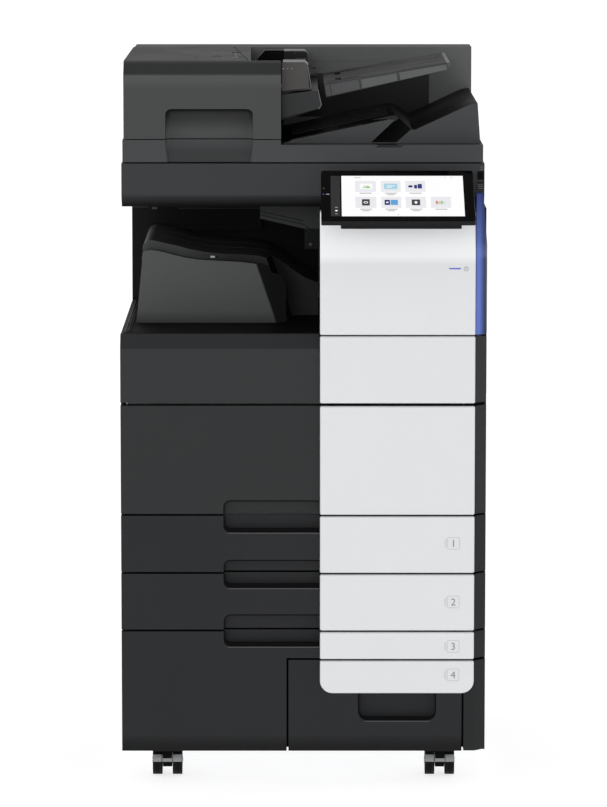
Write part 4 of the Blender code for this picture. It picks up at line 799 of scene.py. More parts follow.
# ================================================================ small finishes
INK = ink("numeral_grey", lin(120, 122, 126))
INK_LIGHT = ink("outline_grey", lin(178, 180, 184))
ENTRY_GREY = plastic("entry_grey", lin(74, 72, 70), 0.5, mottle=0.03, spec=0.12)
# Charcoal for the painted shade under the document tray, darker towards the bottom.
WALL_SHADE = plastic("wall_shade_charcoal", lin(58, 59, 59), 0.52, mottle=0.03, spec=0.10, toe=(1.1900, 1.0700))
PALE = plastic("pale_surround", lin(196, 198, 201), 0.4, mottle=0.01)
HIGHLIGHT = plastic("lip_highlight", lin(74, 75, 77), 0.34, mottle=0.02, spec=0.2)
# Light grey for the bands across the casters' wheels, as a painted highlight; dark above z 0.0385.
CASTER_HIGHLIGHT = plastic("caster_highlight_grey", lin(132, 133, 135), 0.35, mottle=0.03, spec=0.2, second=("Z", 0.0385, lin(34, 34, 35), 0.0008))
TRIM = plastic("trim_grey", lin(92, 93, 95), 0.4, mottle=0.03, spec=0.3)
TRIM_DARK = plastic("trim_charcoal", lin(72, 72, 74), 0.4, mottle=0.03, spec=0.15)
LIGHT = plastic("light_plastic_inner", lin(206, 207, 205), 0.45, mottle=0.02, wear_and_sheen=0.2)
GREEN_TAB = plastic("release_tab_green", lin(52, 140, 92), 0.4, mottle=0.03)
BRASS = steel("contact_brass", (0.72, 0.55, 0.28), 0.3, (1, 1, 1), False)
MIRROR = glossy("lamp_diffuser", lin(226, 230, 232), 0.2)


def screw(k, c, axis, out, r=0.0040, mat=0):
    """A cross-head screw whose head faces out along the axis."""
    x, y, z = c
    dome = [(0.0, -0.0010 * out), (r, -0.0010 * out), (r, 0.0002 * out), (r * 0.8, 0.0007 * out), (r * 0.45, 0.0009 * out), (0.0, 0.0009 * out)]
    k.turn(dome, c, axis, 24, mat)
    for a in (0, 1):
        w, h = (r * 0.62, r * 0.13) if a else (r * 0.13, r * 0.62)
        if axis == "X":
            k.box((x + 0.0008 * out - 0.0002, x + 0.0008 * out + 0.0002), (y - w, y + w), (z - h, z + h), 0, mat=1)
        else:
            k.box((x - w, x + w), (y + 0.0008 * out - 0.0002, y + 0.0008 * out + 0.0002), (z - h, z + h), 0, mat=1)


# ================================================================ front
for n, (z0, z1) in enumerate(((0.4052, 0.4274), (0.3055, 0.3269), (0.2295, 0.2505), (0.1802, 0.2024)), 1):
    zc = (z0 + z1) / 2
    k = Kit(f"tray_number_{n}", INK, INK_LIGHT)
    yf = (Y_PANEL - 0.00025, Y_PANEL + 0.0002)
    k.ring(rounded(0.2421, 0.2628, zc - 0.0104, zc + 0.0104, 0.0026, 5), rounded(0.2429, 0.2620, zc - 0.0096, zc + 0.0096, 0.0019, 5), "Y", yf, mat=1)
    for dx in (0.0017, 0.0034):
        k.box((0.2421 - dx - 0.0007, 0.2421 - dx), yf, (zc - 0.0086 + dx * 0.6, zc + 0.0086 - dx * 0.6), 0.0001, mat=1)
    k.digit(str(n), 0.0175, (0.25245, (yf[0] + yf[1]) / 2, zc), "Y", 0.0004, mat=0)
    k.done(f"drawer_{n}")

k = Kit("power_lamp", LED_BLUE, PALE)
k.prism(rounded(0.2428, 0.2628, 0.8794, 0.8816, 0.0011, 4), "Y", (Y_PANEL - 0.0004, Y_PANEL + 0.001), 0.0001, mat=0)
k.ring(rounded(0.2422, 0.2634, 0.8788, 0.8822, 0.0017, 4), rounded(0.2428, 0.2628, 0.8794, 0.8816, 0.0011, 4), "Y", (Y_PANEL - 0.0002, Y_PANEL + 0.001), mat=1)
k.done("machine")
k = Kit("power_mark", INK_LIGHT)
yb = Y(-0.0075) - 0.0030
k.ring(circle(0.2715, 0.8800, 0.0021, 24), circle(0.2715, 0.8800, 0.0016, 24), "Y", (yb - 0.0002, yb + 0.0002))
k.box((0.27125, 0.27175), (yb - 0.0002, yb + 0.0002), (0.8800, 0.8818), 0)
k.done("power_button")
k = Kit("power_surround", PALE)
k.ring(circle(0.2715, 0.8800, 0.0043, 28), circle(0.2715, 0.8800, 0.0037, 28), "Y", (Y_PANEL - 0.00025, Y_PANEL + 0.0008))
k.done("machine")

# Right-hand end of the scanner's front: service latch and sensor window.
k = Kit("scanner_end_trim", BLACK, TRIM, DEEP)
yf = Y(0.030)
k.prism(rounded(0.2912, 0.3012, 1.0263, 1.0397, 0.0014, 4), "Y", (yf - 0.0006, yf + 0.0010), 0.0002, mat=2)
k.ring(rounded(0.2904, 0.3020, 1.0255, 1.0405, 0.0020, 4), rounded(0.2912, 0.3012, 1.0263, 1.0397, 0.0014, 4), "Y", (yf - 0.0010, yf + 0.0010), 0.0001, mat=0)
k.box((0.2904, 0.3020), (yf - 0.0008, yf + 0.001), (1.0212, 1.0226), 0.0002, mat=2)
k.prism(rounded(0.2908, 0.3016, 1.0088, 1.0200, 0.0012, 4), "Y", (yf - 0.0016, yf + 0.0010), 0.0004, mat=0)
for i in range(3):
    k.box((0.2916, 0.3008), (yf - 0.0020, yf - 0.0012), (1.0106 + 0.0032 * i, 1.0116 + 0.0032 * i), 0.0002, mat=1)
k.box((0.2950, 0.3010), (yf - 0.0007, yf + 0.001), (1.0430, 1.0440), 0.0002, mat=1)
k.box((0.2950, 0.3010), (yf - 0.0007, yf + 0.001), (1.0468, 1.0478), 0.0002, mat=1)
k.done("machine")

# Finger recesses: a black lining of each mouth, as painted shade, and a lighter lip below it, as painted highlight.
def lining(name, body, x0, x1, za, zb, r, w, highlight_band, closed=False):
    """Black liner inside the mouth, as painted shade, from the seam za round the mouth's corner to the edge zb; zb
    above za is the upper half.
    """
    s = 1 if zb > za else -1
    arc = [(x0 + r - r * math.cos(math.radians(10 * i)), zb - s * (r - r * math.sin(math.radians(10 * i)))) for i in range(10)]
    ri = max(r - w, 0.001)
    inner = [(x0 + w + ri - ri * math.cos(math.radians(10 * i)), zb - s * (highlight_band + ri - ri * math.sin(math.radians(10 * i)))) for i in range(10)]
    k = Kit(name, DEEP)
    if closed:
        mirror = lambda p: (x0 + x1 - p[0], p[1])
        path = [(x0, za)] + arc + [mirror(p) for p in arc[::-1]] + [(x1, za), (x1 - w, za)] + [mirror(p) for p in inner] + inner[::-1] + [(x0 + w, za)]
    else:
        path = [(x0, za)] + arc + [(x1, zb), (x1, zb - s * highlight_band)] + inner[::-1] + [(x0 + w, za)]
    k.prism(path, "Y", (Y(0.0012), Y(0.0075)), 0.0)
    k.done(body)


EDGE = 0.00015
for n, (z0, z1, seam, gap, up, down) in enumerate(((0.4331, 0.4876, 0.4630, 0.0015, "lower_door", "drawer_1"),
                                                  (0.3383, 0.3862, 0.3640, 0.0015, "drawer_1", "drawer_2"),
                                                  (0.2381, 0.2929, 0.2655, 0.0015, "drawer_2", "drawer_3")), 1):
    lining(f"grip_{n}_shade_liner_upper", up, -0.1346 + EDGE, 0.0277 - EDGE, seam + gap + 0.0010, z1 - EDGE, 0.0100, 0.0012, 0.0016)
    lining(f"grip_{n}_shade_liner_lower", down, -0.1346 + EDGE, 0.0277 - EDGE, seam - gap - 0.0010, z0 + EDGE, 0.0100, 0.0016, 0.0062)
    # A lighter strip under the mouth, as painted highlight.
    k = Kit(f"grip_{n}_lip", HIGHLIGHT)
    k.prism([(-0.1290, z0 - 0.0007), (-0.1255, z0 - 0.0019), (0.0270, z0 - 0.0019), (0.0270, z0 - 0.0006), (-0.1250, z0 - 0.0006)], "Y", (Y(-0.0003), Y(0.0010)), 0.0002)
    k.done(down)
lining("grip_4_shade_liner", "drawer_4", 0.0922 + EDGE, 0.2242 - EDGE, 0.1700, 0.1108 + EDGE, 0.0120, 0.0016, 0.0050, True)
# A lighter strip under the mouth, as painted highlight.
k = Kit("grip_4_lip", HIGHLIGHT)
k.prism([(0.1020, 0.1101), (0.1050, 0.1090), (0.2114, 0.1090), (0.2144, 0.1101)], "Y", (Y(-0.0003), Y(0.0010)), 0.0002)
k.done("drawer_4")

# Black fillers behind the gaps between fronts, and on the scanner's top edge, as painted shade in the gaps.
k = Kit("gap_shade_fillers", DEEP)
k.box((0.2668, 0.2760), (Y(0.0247), Y(0.0262)), (0.0600, 0.2140), 0.0003)
k.box((0.2980, 0.2995), (Y(0.0264), Y(0.0600)), (0.7710, 0.9755), 0.0004)
k.box((0.0322, 0.0334), (Y(0.0264), Y(0.1480)), (0.7710, 0.9755), 0.0004)
k.box((0.3008, 0.3026), (Y(0.5850), Y(0.6550)), (0.6440, 0.7760), 0.0004)
k.box((-0.0322, -0.0208), (Y(0.0247), Y(0.0262)), (0.0600, 0.2140), 0.0003)
k.box((-0.3000, 0.2980), (Y(0.0340), Y(0.0370)), (1.0522, 1.0546), 0.0003)
k.done("machine")

k = Kit("panel_back_lip", BLACK, DEEP, m=P_MAT)
k.box((0.0612, 0.2600), (-0.1478, -0.1250), (-0.0272, -0.0148), 0.0012, mat=0)
for i in range(14):
    k.box((0.0740 + 0.0130 * i, 0.0760 + 0.0130 * i), (-0.1460, -0.1290), (-0.0277, -0.0268), 0.0003, mat=1)
k.done("operation_panel")

# ================================================================ paper exit bay
k = Kit("bay_fittings", TRIM_DARK, BLACK, DEEP, BAY, EXIT_UNIT)
k.box((-0.2240, -0.0770), (Y(0.5186), Y(0.5205)), (0.9340, 0.9366), 0.0004, mat=4)
k.box((-0.2700, -0.2610), (Y(0.5184), Y(0.5205)), (0.9336, 0.9370), 0.0004, mat=0)
k.box((-0.2730, -0.2722), (Y(0.5600), Y(0.5612)), (0.7700, 0.9740), 0.0002, mat=2)
k.box((-0.3060, -0.2745), (Y(0.5585), Y(0.5604)), (0.7730, 0.9745), 0.0004, mat=4)
k.box((0.0282, 0.0304), (Y(0.1330), Y(0.1388)), (0.9360, 0.9760), 0.0003, mat=2)
k.box((-0.2700, -0.0770), (Y(0.5194), Y(0.5203)), (0.9060, 0.9070), 0.0002, mat=2)
k.ring(rounded(-0.2285, -0.1985, 0.8728, 0.9030, 0.0020, 4), rounded(-0.2269, -0.2001, 0.8744, 0.9014, 0.0012, 4), "Y", (Y(0.5585), Y(0.5602)), 0.0002, mat=1)
k.prism(rounded(-0.2269, -0.2001, 0.8744, 0.9014, 0.0012, 4), "Y", (Y(0.5594), Y(0.5602)), 0.0002, mat=2)
k.cyl((-0.2135, Y(0.5590), 0.8879), "Y", 0.0030, 0.0020, 20, b=0.0004, mat=1)
for i in range(3):
    k.box((-0.3010 + 0.0045 * i, -0.2992 + 0.0045 * i), (Y(0.0400), Y(0.5400)), (0.7675, 0.7695), 0.0004, mat=(0, 1, 3)[i])
k.done("machine")

k = Kit("exit_tray_fittings", TRIM, PALE, DEEP)
k.prism(rounded(-0.1600, -0.1522, 0.8768, 0.8800, 0.0014, 4), "Y", (Y(0.2134), Y(0.2150)), 0.0003, mat=1)
k.cyl((-0.1480, Y(0.2136), 0.8782), "Y", 0.0016, 0.0012, 16, b=0.0003, mat=2)
k.done("machine")

# Ribs of the paper surface, which follow its curve.
BED = [(-0.2450, 0.9035), (-0.2200, 0.8980), (-0.1950, 0.8915), (-0.1700, 0.8865), (-0.1400, 0.8835), (-0.1000, 0.8820),
       (-0.0750, 0.8795), (-0.0560, 0.8740), (-0.0400, 0.8645), (-0.0250, 0.8530), (-0.0110, 0.8420), (0.0050, 0.8320), (0.0200, 0.8262)]
k = Kit("exit_tray_ribs", EXIT_TRAY)
for d in (0.335, 0.425):
    line = BED
    k.prism([(x, z - 0.0006) for x, z in line] + [(x, z + 0.0003) for x, z in line[::-1]], "Y", (Y(d), Y(d + 0.0030)), 0.0002)
k.done("machine")

k = Kit("exit_unit_trim", DEEP, BLACK, TRIM)
seam = [(-0.0738, 0.9560), (0.0000, 0.9395), (0.0262, 0.9205)]
k.prism([(x, z) for x, z in seam] + [(x, z + 0.0010) for x, z in seam[::-1]], "Y", (Y(0.1494), Y(0.1505)), 0.0001, mat=0)
k.prism([(x, z + 0.006) for x, z in seam[:2]] + [(x, z + 0.0070) for x, z in seam[:2][::-1]], "Y", (Y(0.1494), Y(0.1505)), 0.0001, mat=0)
for d in (0.205, 0.262, 0.319, 0.376, 0.433):
    k.prism([(0.0060, 0.9140), (0.0140, 0.9140), (0.0180, 0.9260), (0.0020, 0.9290)], "Y", (Y(d), Y(d + 0.020)), 0.0008, mat=1)
k.done("machine")

# ================================================================ document feeder
k = Kit("feeder_lamps", LED_WHITE, DEEP)
for x in (-0.0337, -0.0266, -0.0194):
    k.cyl((x, Y(0.0748), 1.2091), "Y", 0.0008, 0.0008, 16, b=0.0002, mat=0)
    k.ring(circle(x, 1.2091, 0.0013, 20), circle(x, 1.2091, 0.0008, 20), "Y", (Y(0.0748), Y(0.0754)), mat=1)
k.done("document_feeder")

k = Kit("feeder_face_plates", ENTRY_GREY, BODY)
k.prism([(-0.0363, 1.1713), (0.0096, 1.1768), (0.0065, 1.2144), (0.0014, 1.2194), (-0.0363, 1.2194)], "Y", (Y(0.0753), Y(0.0766)), 0.0004, mat=0)
k.prism([(-0.0365, 1.1276), (-0.0350, 1.1266), (0.0252, 1.1421), (0.0284, 1.1486), (0.0226, 1.1728), (-0.0365, 1.1655)], "Y", (Y(0.0733), Y(0.0746)), 0.0004, mat=1)
k.done("document_feeder")

k = Kit("feeder_entry_trim", TRIM, BLACK, DEEP, LIGHT)
# The TRIM strips along the entry blocks' top and right-hand edges are painted highlights.
for d0, d1 in ((0.0755, 0.1435), (0.4285, 0.4885)):
    k.prism([(-0.0345, 1.2195), (0.0016, 1.2195), (0.0066, 1.2146), (0.0080, 1.2150), (0.0024, 1.2206), (-0.0345, 1.2206)], "Y", (Y(d0), Y(d1)), 0.0003, mat=0)
    k.prism([(0.0120, 1.1775), (0.0132, 1.1778), (0.0078, 1.2142), (0.0066, 1.2138)], "Y", (Y(d0), Y(d0 + 0.0020)), 0.0002, mat=0)
k.prism([(0.0235, 1.1738), (0.0249, 1.1740), (0.0306, 1.1482), (0.0262, 1.1412), (0.0250, 1.1420), (0.0292, 1.1480)], "Y", (Y(0.0735), Y(0.0765)), 0.0002, mat=0)
k.box((-0.0440, 0.0240), (Y(0.0736), Y(0.0742)), (1.1645, 1.1655), 0.0001, mat=2)
for i in range(9):
    d = 0.160 + 0.030 * i
    k.prism([(-0.0300, 1.1640), (0.0180, 1.1700), (0.0180, 1.1722), (-0.0300, 1.1665)], "Y", (Y(d), Y(d + 0.0020)), 0.0003, mat=1)
k.prism([(-0.1385, 1.1410), (-0.0500, 1.1410), (-0.0500, 1.1440), (-0.1385, 1.1440)], "Y", (Y(0.2000), Y(0.3700)), 0.0006, mat=1)
for d in (0.2240, 0.3420):
    k.prism([(-0.1150, 1.1435), (-0.0650, 1.1435), (-0.0650, 1.1540), (-0.0700, 1.1600), (-0.1100, 1.1600), (-0.1150, 1.1540)], "Y", (Y(d), Y(d + 0.0040)), 0.0008, mat=1)
for x, w in ((-0.1300, 0.020), (-0.0620, 0.010)):
    k.box((x, x + w), (Y(0.2760), Y(0.2940)), (1.1440, 1.1470), 0.0005, mat=0)
k.done("document_feeder")

k = Kit("document_tray_trim", FEEDER_BASE, TRIM_DARK, DEEP, LIGHT, FEEDER_WALL, m=T_MAT)
c = math.cos(TA)
for a, b, mat, up in ((0.033, 0.044, 1, 0.0), (0.045, 0.0925, 1, -0.0006), (0.0965, 0.1565, 4, -0.0012), (0.1615, 0.2410, 4, -0.0006)):
    s0, s1 = max(0.0012, (a - 0.0345) / c), (b - 0.0345) / c
    low0, low1 = -0.0185 + 0.0092 * s0 / 0.195, -0.0185 + 0.0092 * s1 / 0.195
    k.prism([(s0, low0), (s1, low1), (s1, up + 0.0010), (s0, up + 0.0010)], "Y", (Y(0.1086), Y(0.1104)), 0.0005, mat=mat)
k.prism([(0.2105, -0.0068), (0.2176, -0.0012), (0.2155, 0.0034), (0.2105, 0.0034)], "Y", (Y(0.1082), Y(0.4210)), 0.0008, mat=1)
for d in (0.2150, 0.3150):
    k.prism([(0.0400, 0.0028), (0.2040, 0.0028), (0.2020, 0.0034), (0.0420, 0.0034)], "Y", (Y(d), Y(d + 0.0030)), 0.0003, mat=0)
k.prism([(0.1700, -0.0130), (0.2080, -0.0085), (0.2080, -0.0062), (0.1700, -0.0062)], "Y", (Y(0.1250), Y(0.1500)), 0.0008, mat=2)
k.done("document_tray")

for tag, d in (("front", 0.1530), ("rear", 0.3710)):
    k = Kit(f"guide_{tag}_trim", BLACK, TRIM)
    y0, y1 = Y(d - 0.0008), Y(d + 0.0068)
    for i in range(4):
        x = -0.0120 + 0.0050 * i
        k.box((x, x + 0.0014), (y0, y1), (1.1860 if i < 3 else 1.1860, 1.2120 if i < 3 else 1.2040), 0.0004, mat=0)
    k.done(f"guide_{tag}")

k = Kit("entry_frame", DEEP, DEEP, TRIM)
k.prism([(-0.0830, 1.1870), (-0.0460, 1.1870), (-0.0460, 1.2000), (-0.0345, 1.2000), (-0.0345, 1.2212), (-0.0676, 1.2212), (-0.0800, 1.2075)], "Y",
        (Y(0.4320), Y(0.4860)), 0.0008, mat=0)
# A TRIM strip along the frame's top edge, as a painted highlight line.
k.prism([(-0.0680, 1.2208), (-0.0345, 1.2208), (-0.0345, 1.2222), (-0.0685, 1.2222), (-0.0808, 1.2085), (-0.0800, 1.2075)], "Y", (Y(0.4310), Y(0.4330)), 0.0003, mat=2)
k.prism([(-0.0560, 1.1990), (-0.0350, 1.1990), (-0.0350, 1.2170), (-0.0590, 1.2170)], "Y", (Y(0.4300), Y(0.4326)), 0.0004, mat=1)
k.prism([(-0.0840, 1.1862), (-0.0470, 1.1862), (-0.0470, 1.1900), (-0.0840, 1.1900)], "Y", (Y(0.0760), Y(0.1440)), 0.0006, mat=0)
for i in range(6):
    k.box((-0.0830, -0.0470), (Y(0.1640 + 0.044 * i), Y(0.1670 + 0.044 * i)), (1.1855, 1.1930), 0.0006, mat=0)
k.done("document_feeder")

k = Kit("exit_bed_ribs_and_highlights", BLACK, DEEP, TRIM_DARK)
SL = 0.0390 / 0.1810
for d in (0.0790, 0.0880, 0.1000, 0.2150, 0.2550, 0.2950, 0.3350, 0.3750, 0.4150, 0.4550):
    x1 = 0.100 if d < 0.17 else 0.1440
    x0 = -0.020
    k.prism([(x0, 1.0845 + SL * (x0 + 0.033)), (x1, 1.0845 + SL * (x1 + 0.033)), (x1, 1.0862 + SL * (x1 + 0.033)), (x0, 1.0862 + SL * (x0 + 0.033))], "Y",
            (Y(d), Y(d + 0.0020)), 0.0003, mat=0)
# Two TRIM_DARK strips along the bed's front edge, as painted highlights.
bed = [(x, 1.0850 + SL * (x + 0.033)) for x in (-0.024, 0.0, 0.05, 0.10, 0.146)]
for d in (0.0716, 0.0776):
    k.prism([(x, z - 0.0004) for x, z in bed] + [(x, z + 0.0007) for x, z in bed[::-1]], "Y", (Y(d), Y(d + 0.0016)), 0.0002, mat=2)
k.done("document_feeder")

k = Kit("feeder_wall_trim", FEEDER_WALL, TRIM, DEEP, WALL_SHADE)
# A darker pad on the rear wall under the document tray, as painted shade.
k.prism(rounded(-0.0350, 0.2225, 1.1000, 1.1770, 0.0006, 3), "Y", (Y(0.4992), Y(0.5004)), 0.0004, mat=3)
k.box((-0.0360, 0.2180), (Y(0.4992), Y(0.5003)), (1.1990, 1.2000), 0.0002, mat=0)
k.box((-0.0480, -0.0300), (Y(0.5100), Y(0.5120)), (1.0780, 1.1080), 0.0003, mat=2)
for i in range(3):
    screw(k, ((-0.280, 0.0, 0.280)[i], Y(0.5948), 1.1080), "Y", 1, 0.0036, 1)
k.done("document_feeder")

k = Kit("feed_cover_sensor", DEEP, TRIM_DARK, TRIM)
for x0, x1 in ((-0.1856, -0.1786), (-0.1559, -0.1401)):
    k.prism(rounded(x0 - 0.0005, x1 + 0.0005, Y(0.1865), Y(0.2015), 0.0022, 4), "Z", (1.2196, 1.2222), 0.0002, mat=0)
    k.prism(rounded(x0 + 0.0014, x1 - 0.0014, Y(0.1905), Y(0.1975), 0.0012, 4), "Z", (1.2216, 1.2226), 0.0002, mat=1)
# Raised pads on the cover's top; the lighter ones are painted glints.
for i, (x, d) in enumerate(((-0.1195, 0.150), (-0.1140, 0.170), (-0.1080, 0.195), (-0.1165, 0.240), (-0.1175, 0.290))):
    k.prism(rounded(x - 0.0022, x + 0.0022, Y(d), Y(d + 0.016), 0.0008, 3), "Z", (1.2220, 1.2230 + 0.0001 * (i % 3)), 0.0002, mat=(1, 2, 1, 2, 2)[i])
k.done("feed_cover")

k = Kit("feeder_pad_trim", LIGHT, BLACK)
k.box((-0.2450, -0.2205), (Y(0.1180), Y(0.4320)), (1.0545, 1.0560), 0.0003, mat=0)
for d in (0.1150, 0.4330):
    k.box((-0.2480, -0.2180), (Y(d), Y(d + 0.0030)), (1.0543, 1.0562), 0.0003, mat=1)
k.done("document_feeder")

# ================================================================ scanner
k = Kit("platen_scales", LIGHT, INK)
k.box((-0.2186, -0.2086), (Y(0.1210), Y(0.4410)), (1.0526, 1.0534), 0.0002, mat=0)
k.box((-0.2186, 0.2416), (Y(0.4306), Y(0.4410)), (1.0526, 1.0534), 0.0002, mat=0)
for i in range(30):
    w = 0.0050 if i % 5 == 0 else 0.0028
    k.box((-0.2092 - w, -0.2092), (Y(0.4270 - 0.010 * i), Y(0.4273 - 0.010 * i)), (1.0532, 1.0536), 0, mat=1)
for i in range(44):
    w = 0.0050 if i % 5 == 0 else 0.0028
    k.box((-0.2050 + 0.010 * i, -0.2047 + 0.010 * i), (Y(0.4312), Y(0.4312 + w)), (1.0532, 1.0536), 0, mat=1)
k.done("machine")
k = Kit("slit_glass", GLASS, BLACK)
k.box((-0.2456, -0.2204), (Y(0.1204), Y(0.4296)), (1.0497, 1.0525), 0.0003, mat=0)
k.box((-0.2475, -0.2186), (Y(0.1160), Y(0.1200)), (1.0524, 1.0533), 0.0002, mat=1)
k.box((-0.2475, -0.2186), (Y(0.4300), Y(0.4340)), (1.0524, 1.0533), 0.0002, mat=1)
k.done("machine")
k = Kit("carriage_lamp", MIRROR, TRIM)
k.box((-0.2394, -0.2340), (Y(0.1110), Y(0.4390)), (1.0358, 1.0405), 0.0006, mat=0)
k.box((-0.2330, -0.2266), (Y(0.1110), Y(0.4390)), (1.0358, 1.0380), 0.0004, mat=1)
k.done("scan_carriage")

# ================================================================ side and rear covers
k = Kit("left_cover_screws", TRIM, DEEP)
for d, z in screw_places("left"):
    screw(k, (-0.3064, Y(d), z), "X", -1)
k.done("machine")
k = Kit("right_cover_screws", TRIM, DEEP)
for d, z in screw_places("right"):
    screw(k, (0.3064, Y(d), z), "X", 1)
k.done("machine")
k = Kit("rear_cover_screws", TRIM, DEEP)
for x, z in screw_places("rear"):
    screw(k, (x, Y_REAR - 0.0012, z), "Y", 1)
k.done("machine")

# Dust filters seen through the louvres.
k = Kit("louvre_filters", DEEP, BLACK)
k.box((-0.2250, -0.0550), (Y_REAR - 0.0140, Y_REAR - 0.0120), (0.630, 0.768), 0.0005, mat=0)
k.box((0.0500, 0.2300), (Y_REAR - 0.0140, Y_REAR - 0.0120), (0.795, 0.915), 0.0005, mat=0)
k.box((-0.3000, -0.2990), (Y(0.3900), Y(0.5900)), (0.590, 0.696), 0.0004, mat=0)
for i in range(16):
    k.box((-0.2200 + 0.010 * i, -0.2188 + 0.010 * i), (Y_REAR - 0.0122, Y_REAR - 0.0108), (0.632, 0.766), 0.0002, mat=1)
    k.box((0.0640 + 0.010 * i, 0.0652 + 0.010 * i), (Y_REAR - 0.0122, Y_REAR - 0.0108), (0.797, 0.913), 0.0002, mat=1)
k.done("machine")

# Data sockets, in their pocket on the rear cover.
k = Kit("data_sockets", ZINC, DEEP, BRASS, BLACK)
yr = Y_REAR - 0.0030
k.box((-0.2330, -0.1870), (yr - 0.0004, yr + 0.0004), (0.4220, 0.4780), 0.0004, mat=0)
k.ring(rounded(-0.2290, -0.2110, 0.4560, 0.4720, 0.0008, 3), rounded(-0.2275, -0.2125, 0.4575, 0.4705, 0.0005, 3), "Y", (yr, yr + 0.0020), 0.0002, mat=0)
k.box((-0.2275, -0.2125), (yr, yr + 0.0008), (0.4575, 0.4705), 0, mat=1)
for i in range(8):
    k.box((-0.2258 + 0.0016 * i, -0.2252 + 0.0016 * i), (yr + 0.0006, yr + 0.0012), (0.4660, 0.4700), 0, mat=2)
for x, w, z, h in ((-0.2035, 0.0120, 0.4600, 0.0105), (-0.2280, 0.0130, 0.4400, 0.0055), (-0.2060, 0.0130, 0.4400, 0.0055), (-0.2280, 0.0180, 0.4265, 0.0060)):
    k.ring(rounded(x, x + w, z, z + h, 0.0006, 3), rounded(x + 0.0008, x + w - 0.0008, z + 0.0008, z + h - 0.0008, 0.0004, 3), "Y", (yr, yr + 0.0020), 0.0001, mat=0)
    k.box((x + 0.0008, x + w - 0.0008), (yr, yr + 0.0006), (z + 0.0008, z + h - 0.0008), 0, mat=1)
    k.box((x + 0.0020, x + w - 0.0020), (yr + 0.0004, yr + 0.0016), (z + h * 0.42, z + h * 0.62), 0.0001, mat=3)
k.done("machine")
k = Kit("power_inlet_frame", BLACK, BRASS, DEEP)
outer = [(0.2030, 0.1080), (0.2380, 0.1080), (0.2380, 0.1280), (0.2310, 0.1360), (0.2100, 0.1360), (0.2030, 0.1280)]
inner = [(0.2076, 0.1126), (0.2334, 0.1126), (0.2334, 0.1258), (0.2287, 0.1314), (0.2123, 0.1314), (0.2076, 0.1258)]
k.ring(outer, inner, "Y", (Y_REAR - 0.0100, Y_REAR - 0.00005), 0.0003, mat=0)
for x, z in ((0.2130, 0.1200), (0.2280, 0.1200), (0.2205, 0.1260)):
    k.box((x - 0.0012, x + 0.0012), (Y_REAR - 0.0175, Y_REAR - 0.0038), (z - 0.0027, z + 0.0027), 0.0004, mat=1)
k.done("machine")

# ================================================================ right-hand door
k = Kit("right_door_latch", BLACK, TRIM, DEEP)
k.prism(rounded(Y(0.0850), Y(0.1050), 0.7610, 0.8990, 0.0095), "X", (0.2996, 0.3008), 0.0002, mat=2)
k.prism(rounded(Y(0.0905), Y(0.1035), 0.7700, 0.8900, 0.0050), "X", (0.3020, 0.3056), 0.0010, mat=0)
for i in range(10):
    k.box((0.3054, 0.3062), (Y(0.0925), Y(0.1015)), (0.7980 + 0.0068 * i, 0.7992 + 0.0068 * i), 0.0003, mat=1)
k.box((0.2990, 0.3030), (Y(0.0880), Y(0.0910)), (0.7720, 0.8880), 0.0006, mat=0)
k.done("right_door")
k = Kit("right_door_guides", BLACK, TRIM)
for i in range(18):
    d = 0.1000 + 0.0225 * i
    k.prism([(0.2872, 0.2900), (0.2950, 0.2790), (0.2952, 0.2790), (0.2952, 0.9300), (0.2950, 0.9300), (0.2872, 0.9180)], "Y", (Y(d), Y(d + 0.0018)), 0.0004, mat=0)
k.box((0.2900, 0.2952), (Y(0.0820), Y(0.5050)), (0.4560, 0.4620), 0.0006, mat=1)
k.box((0.2900, 0.2952), (Y(0.0820), Y(0.5050)), (0.7060, 0.7120), 0.0006, mat=1)
k.done("right_door")
k = Kit("bypass_trim", BLACK, TRIM)
k.prism(rounded(Y(0.2510), Y(0.3390), 0.6812, 0.6960, 0.0030), "X", (0.3026, 0.3034), 0.0002, mat=0)
k.box((0.3030, 0.3052), (Y(0.2540), Y(0.3360)), (0.6820, 0.6834), 0.0003, mat=1)
k.done("bypass_tray")
k = Kit("bypass_bed", BLACK, ROLLER, AXLE, TRIM)
k.box((0.2976, 0.2984), (Y(0.1240), Y(0.4660)), (0.4240, 0.6960), 0.0002, mat=0)
k.done("right_door")

# ================================================================ behind the front doors
for colour, x in zip(("yellow", "magenta", "cyan", "black"), (-0.2150, -0.1150, -0.0150, 0.1000)):
    mat = TONERS[colour]
    k = Kit(f"toner_{colour}_mouldings", LIGHT, mat, BLACK)
    for i in range(12):
        k.turn([(0.0355, -0.0022), (0.0368, -0.0010), (0.0368, 0.0010), (0.0355, 0.0022)], (x, Y(0.075 + 0.023 * i), 0.7020), "Y", 40, 1)
    k.turn([(0.0300, -0.0006), (0.0345, -0.0006), (0.0345, 0.0008), (0.0300, 0.0008)], (x, Y(0.0318), 0.7020), "Y", 44, 0)
    k.turn([(0.0105, -0.0016), (0.0125, -0.0016), (0.0125, 0.0008), (0.0105, 0.0008)], (x, Y(0.0318), 0.7020), "Y", 32, 2)
    for i in range(24):
        a = 2 * math.pi * i / 24
        k.box((-0.0008, 0.0008), (Y(0.0306), Y(0.0330)), (0.0270, 0.0296), 0.0003, mat=0,
              m=Matrix.Translation((x, 0, 0.7020)) @ Matrix.Rotation(a, 4, "Y"))
    k.done(f"toner_{colour}")

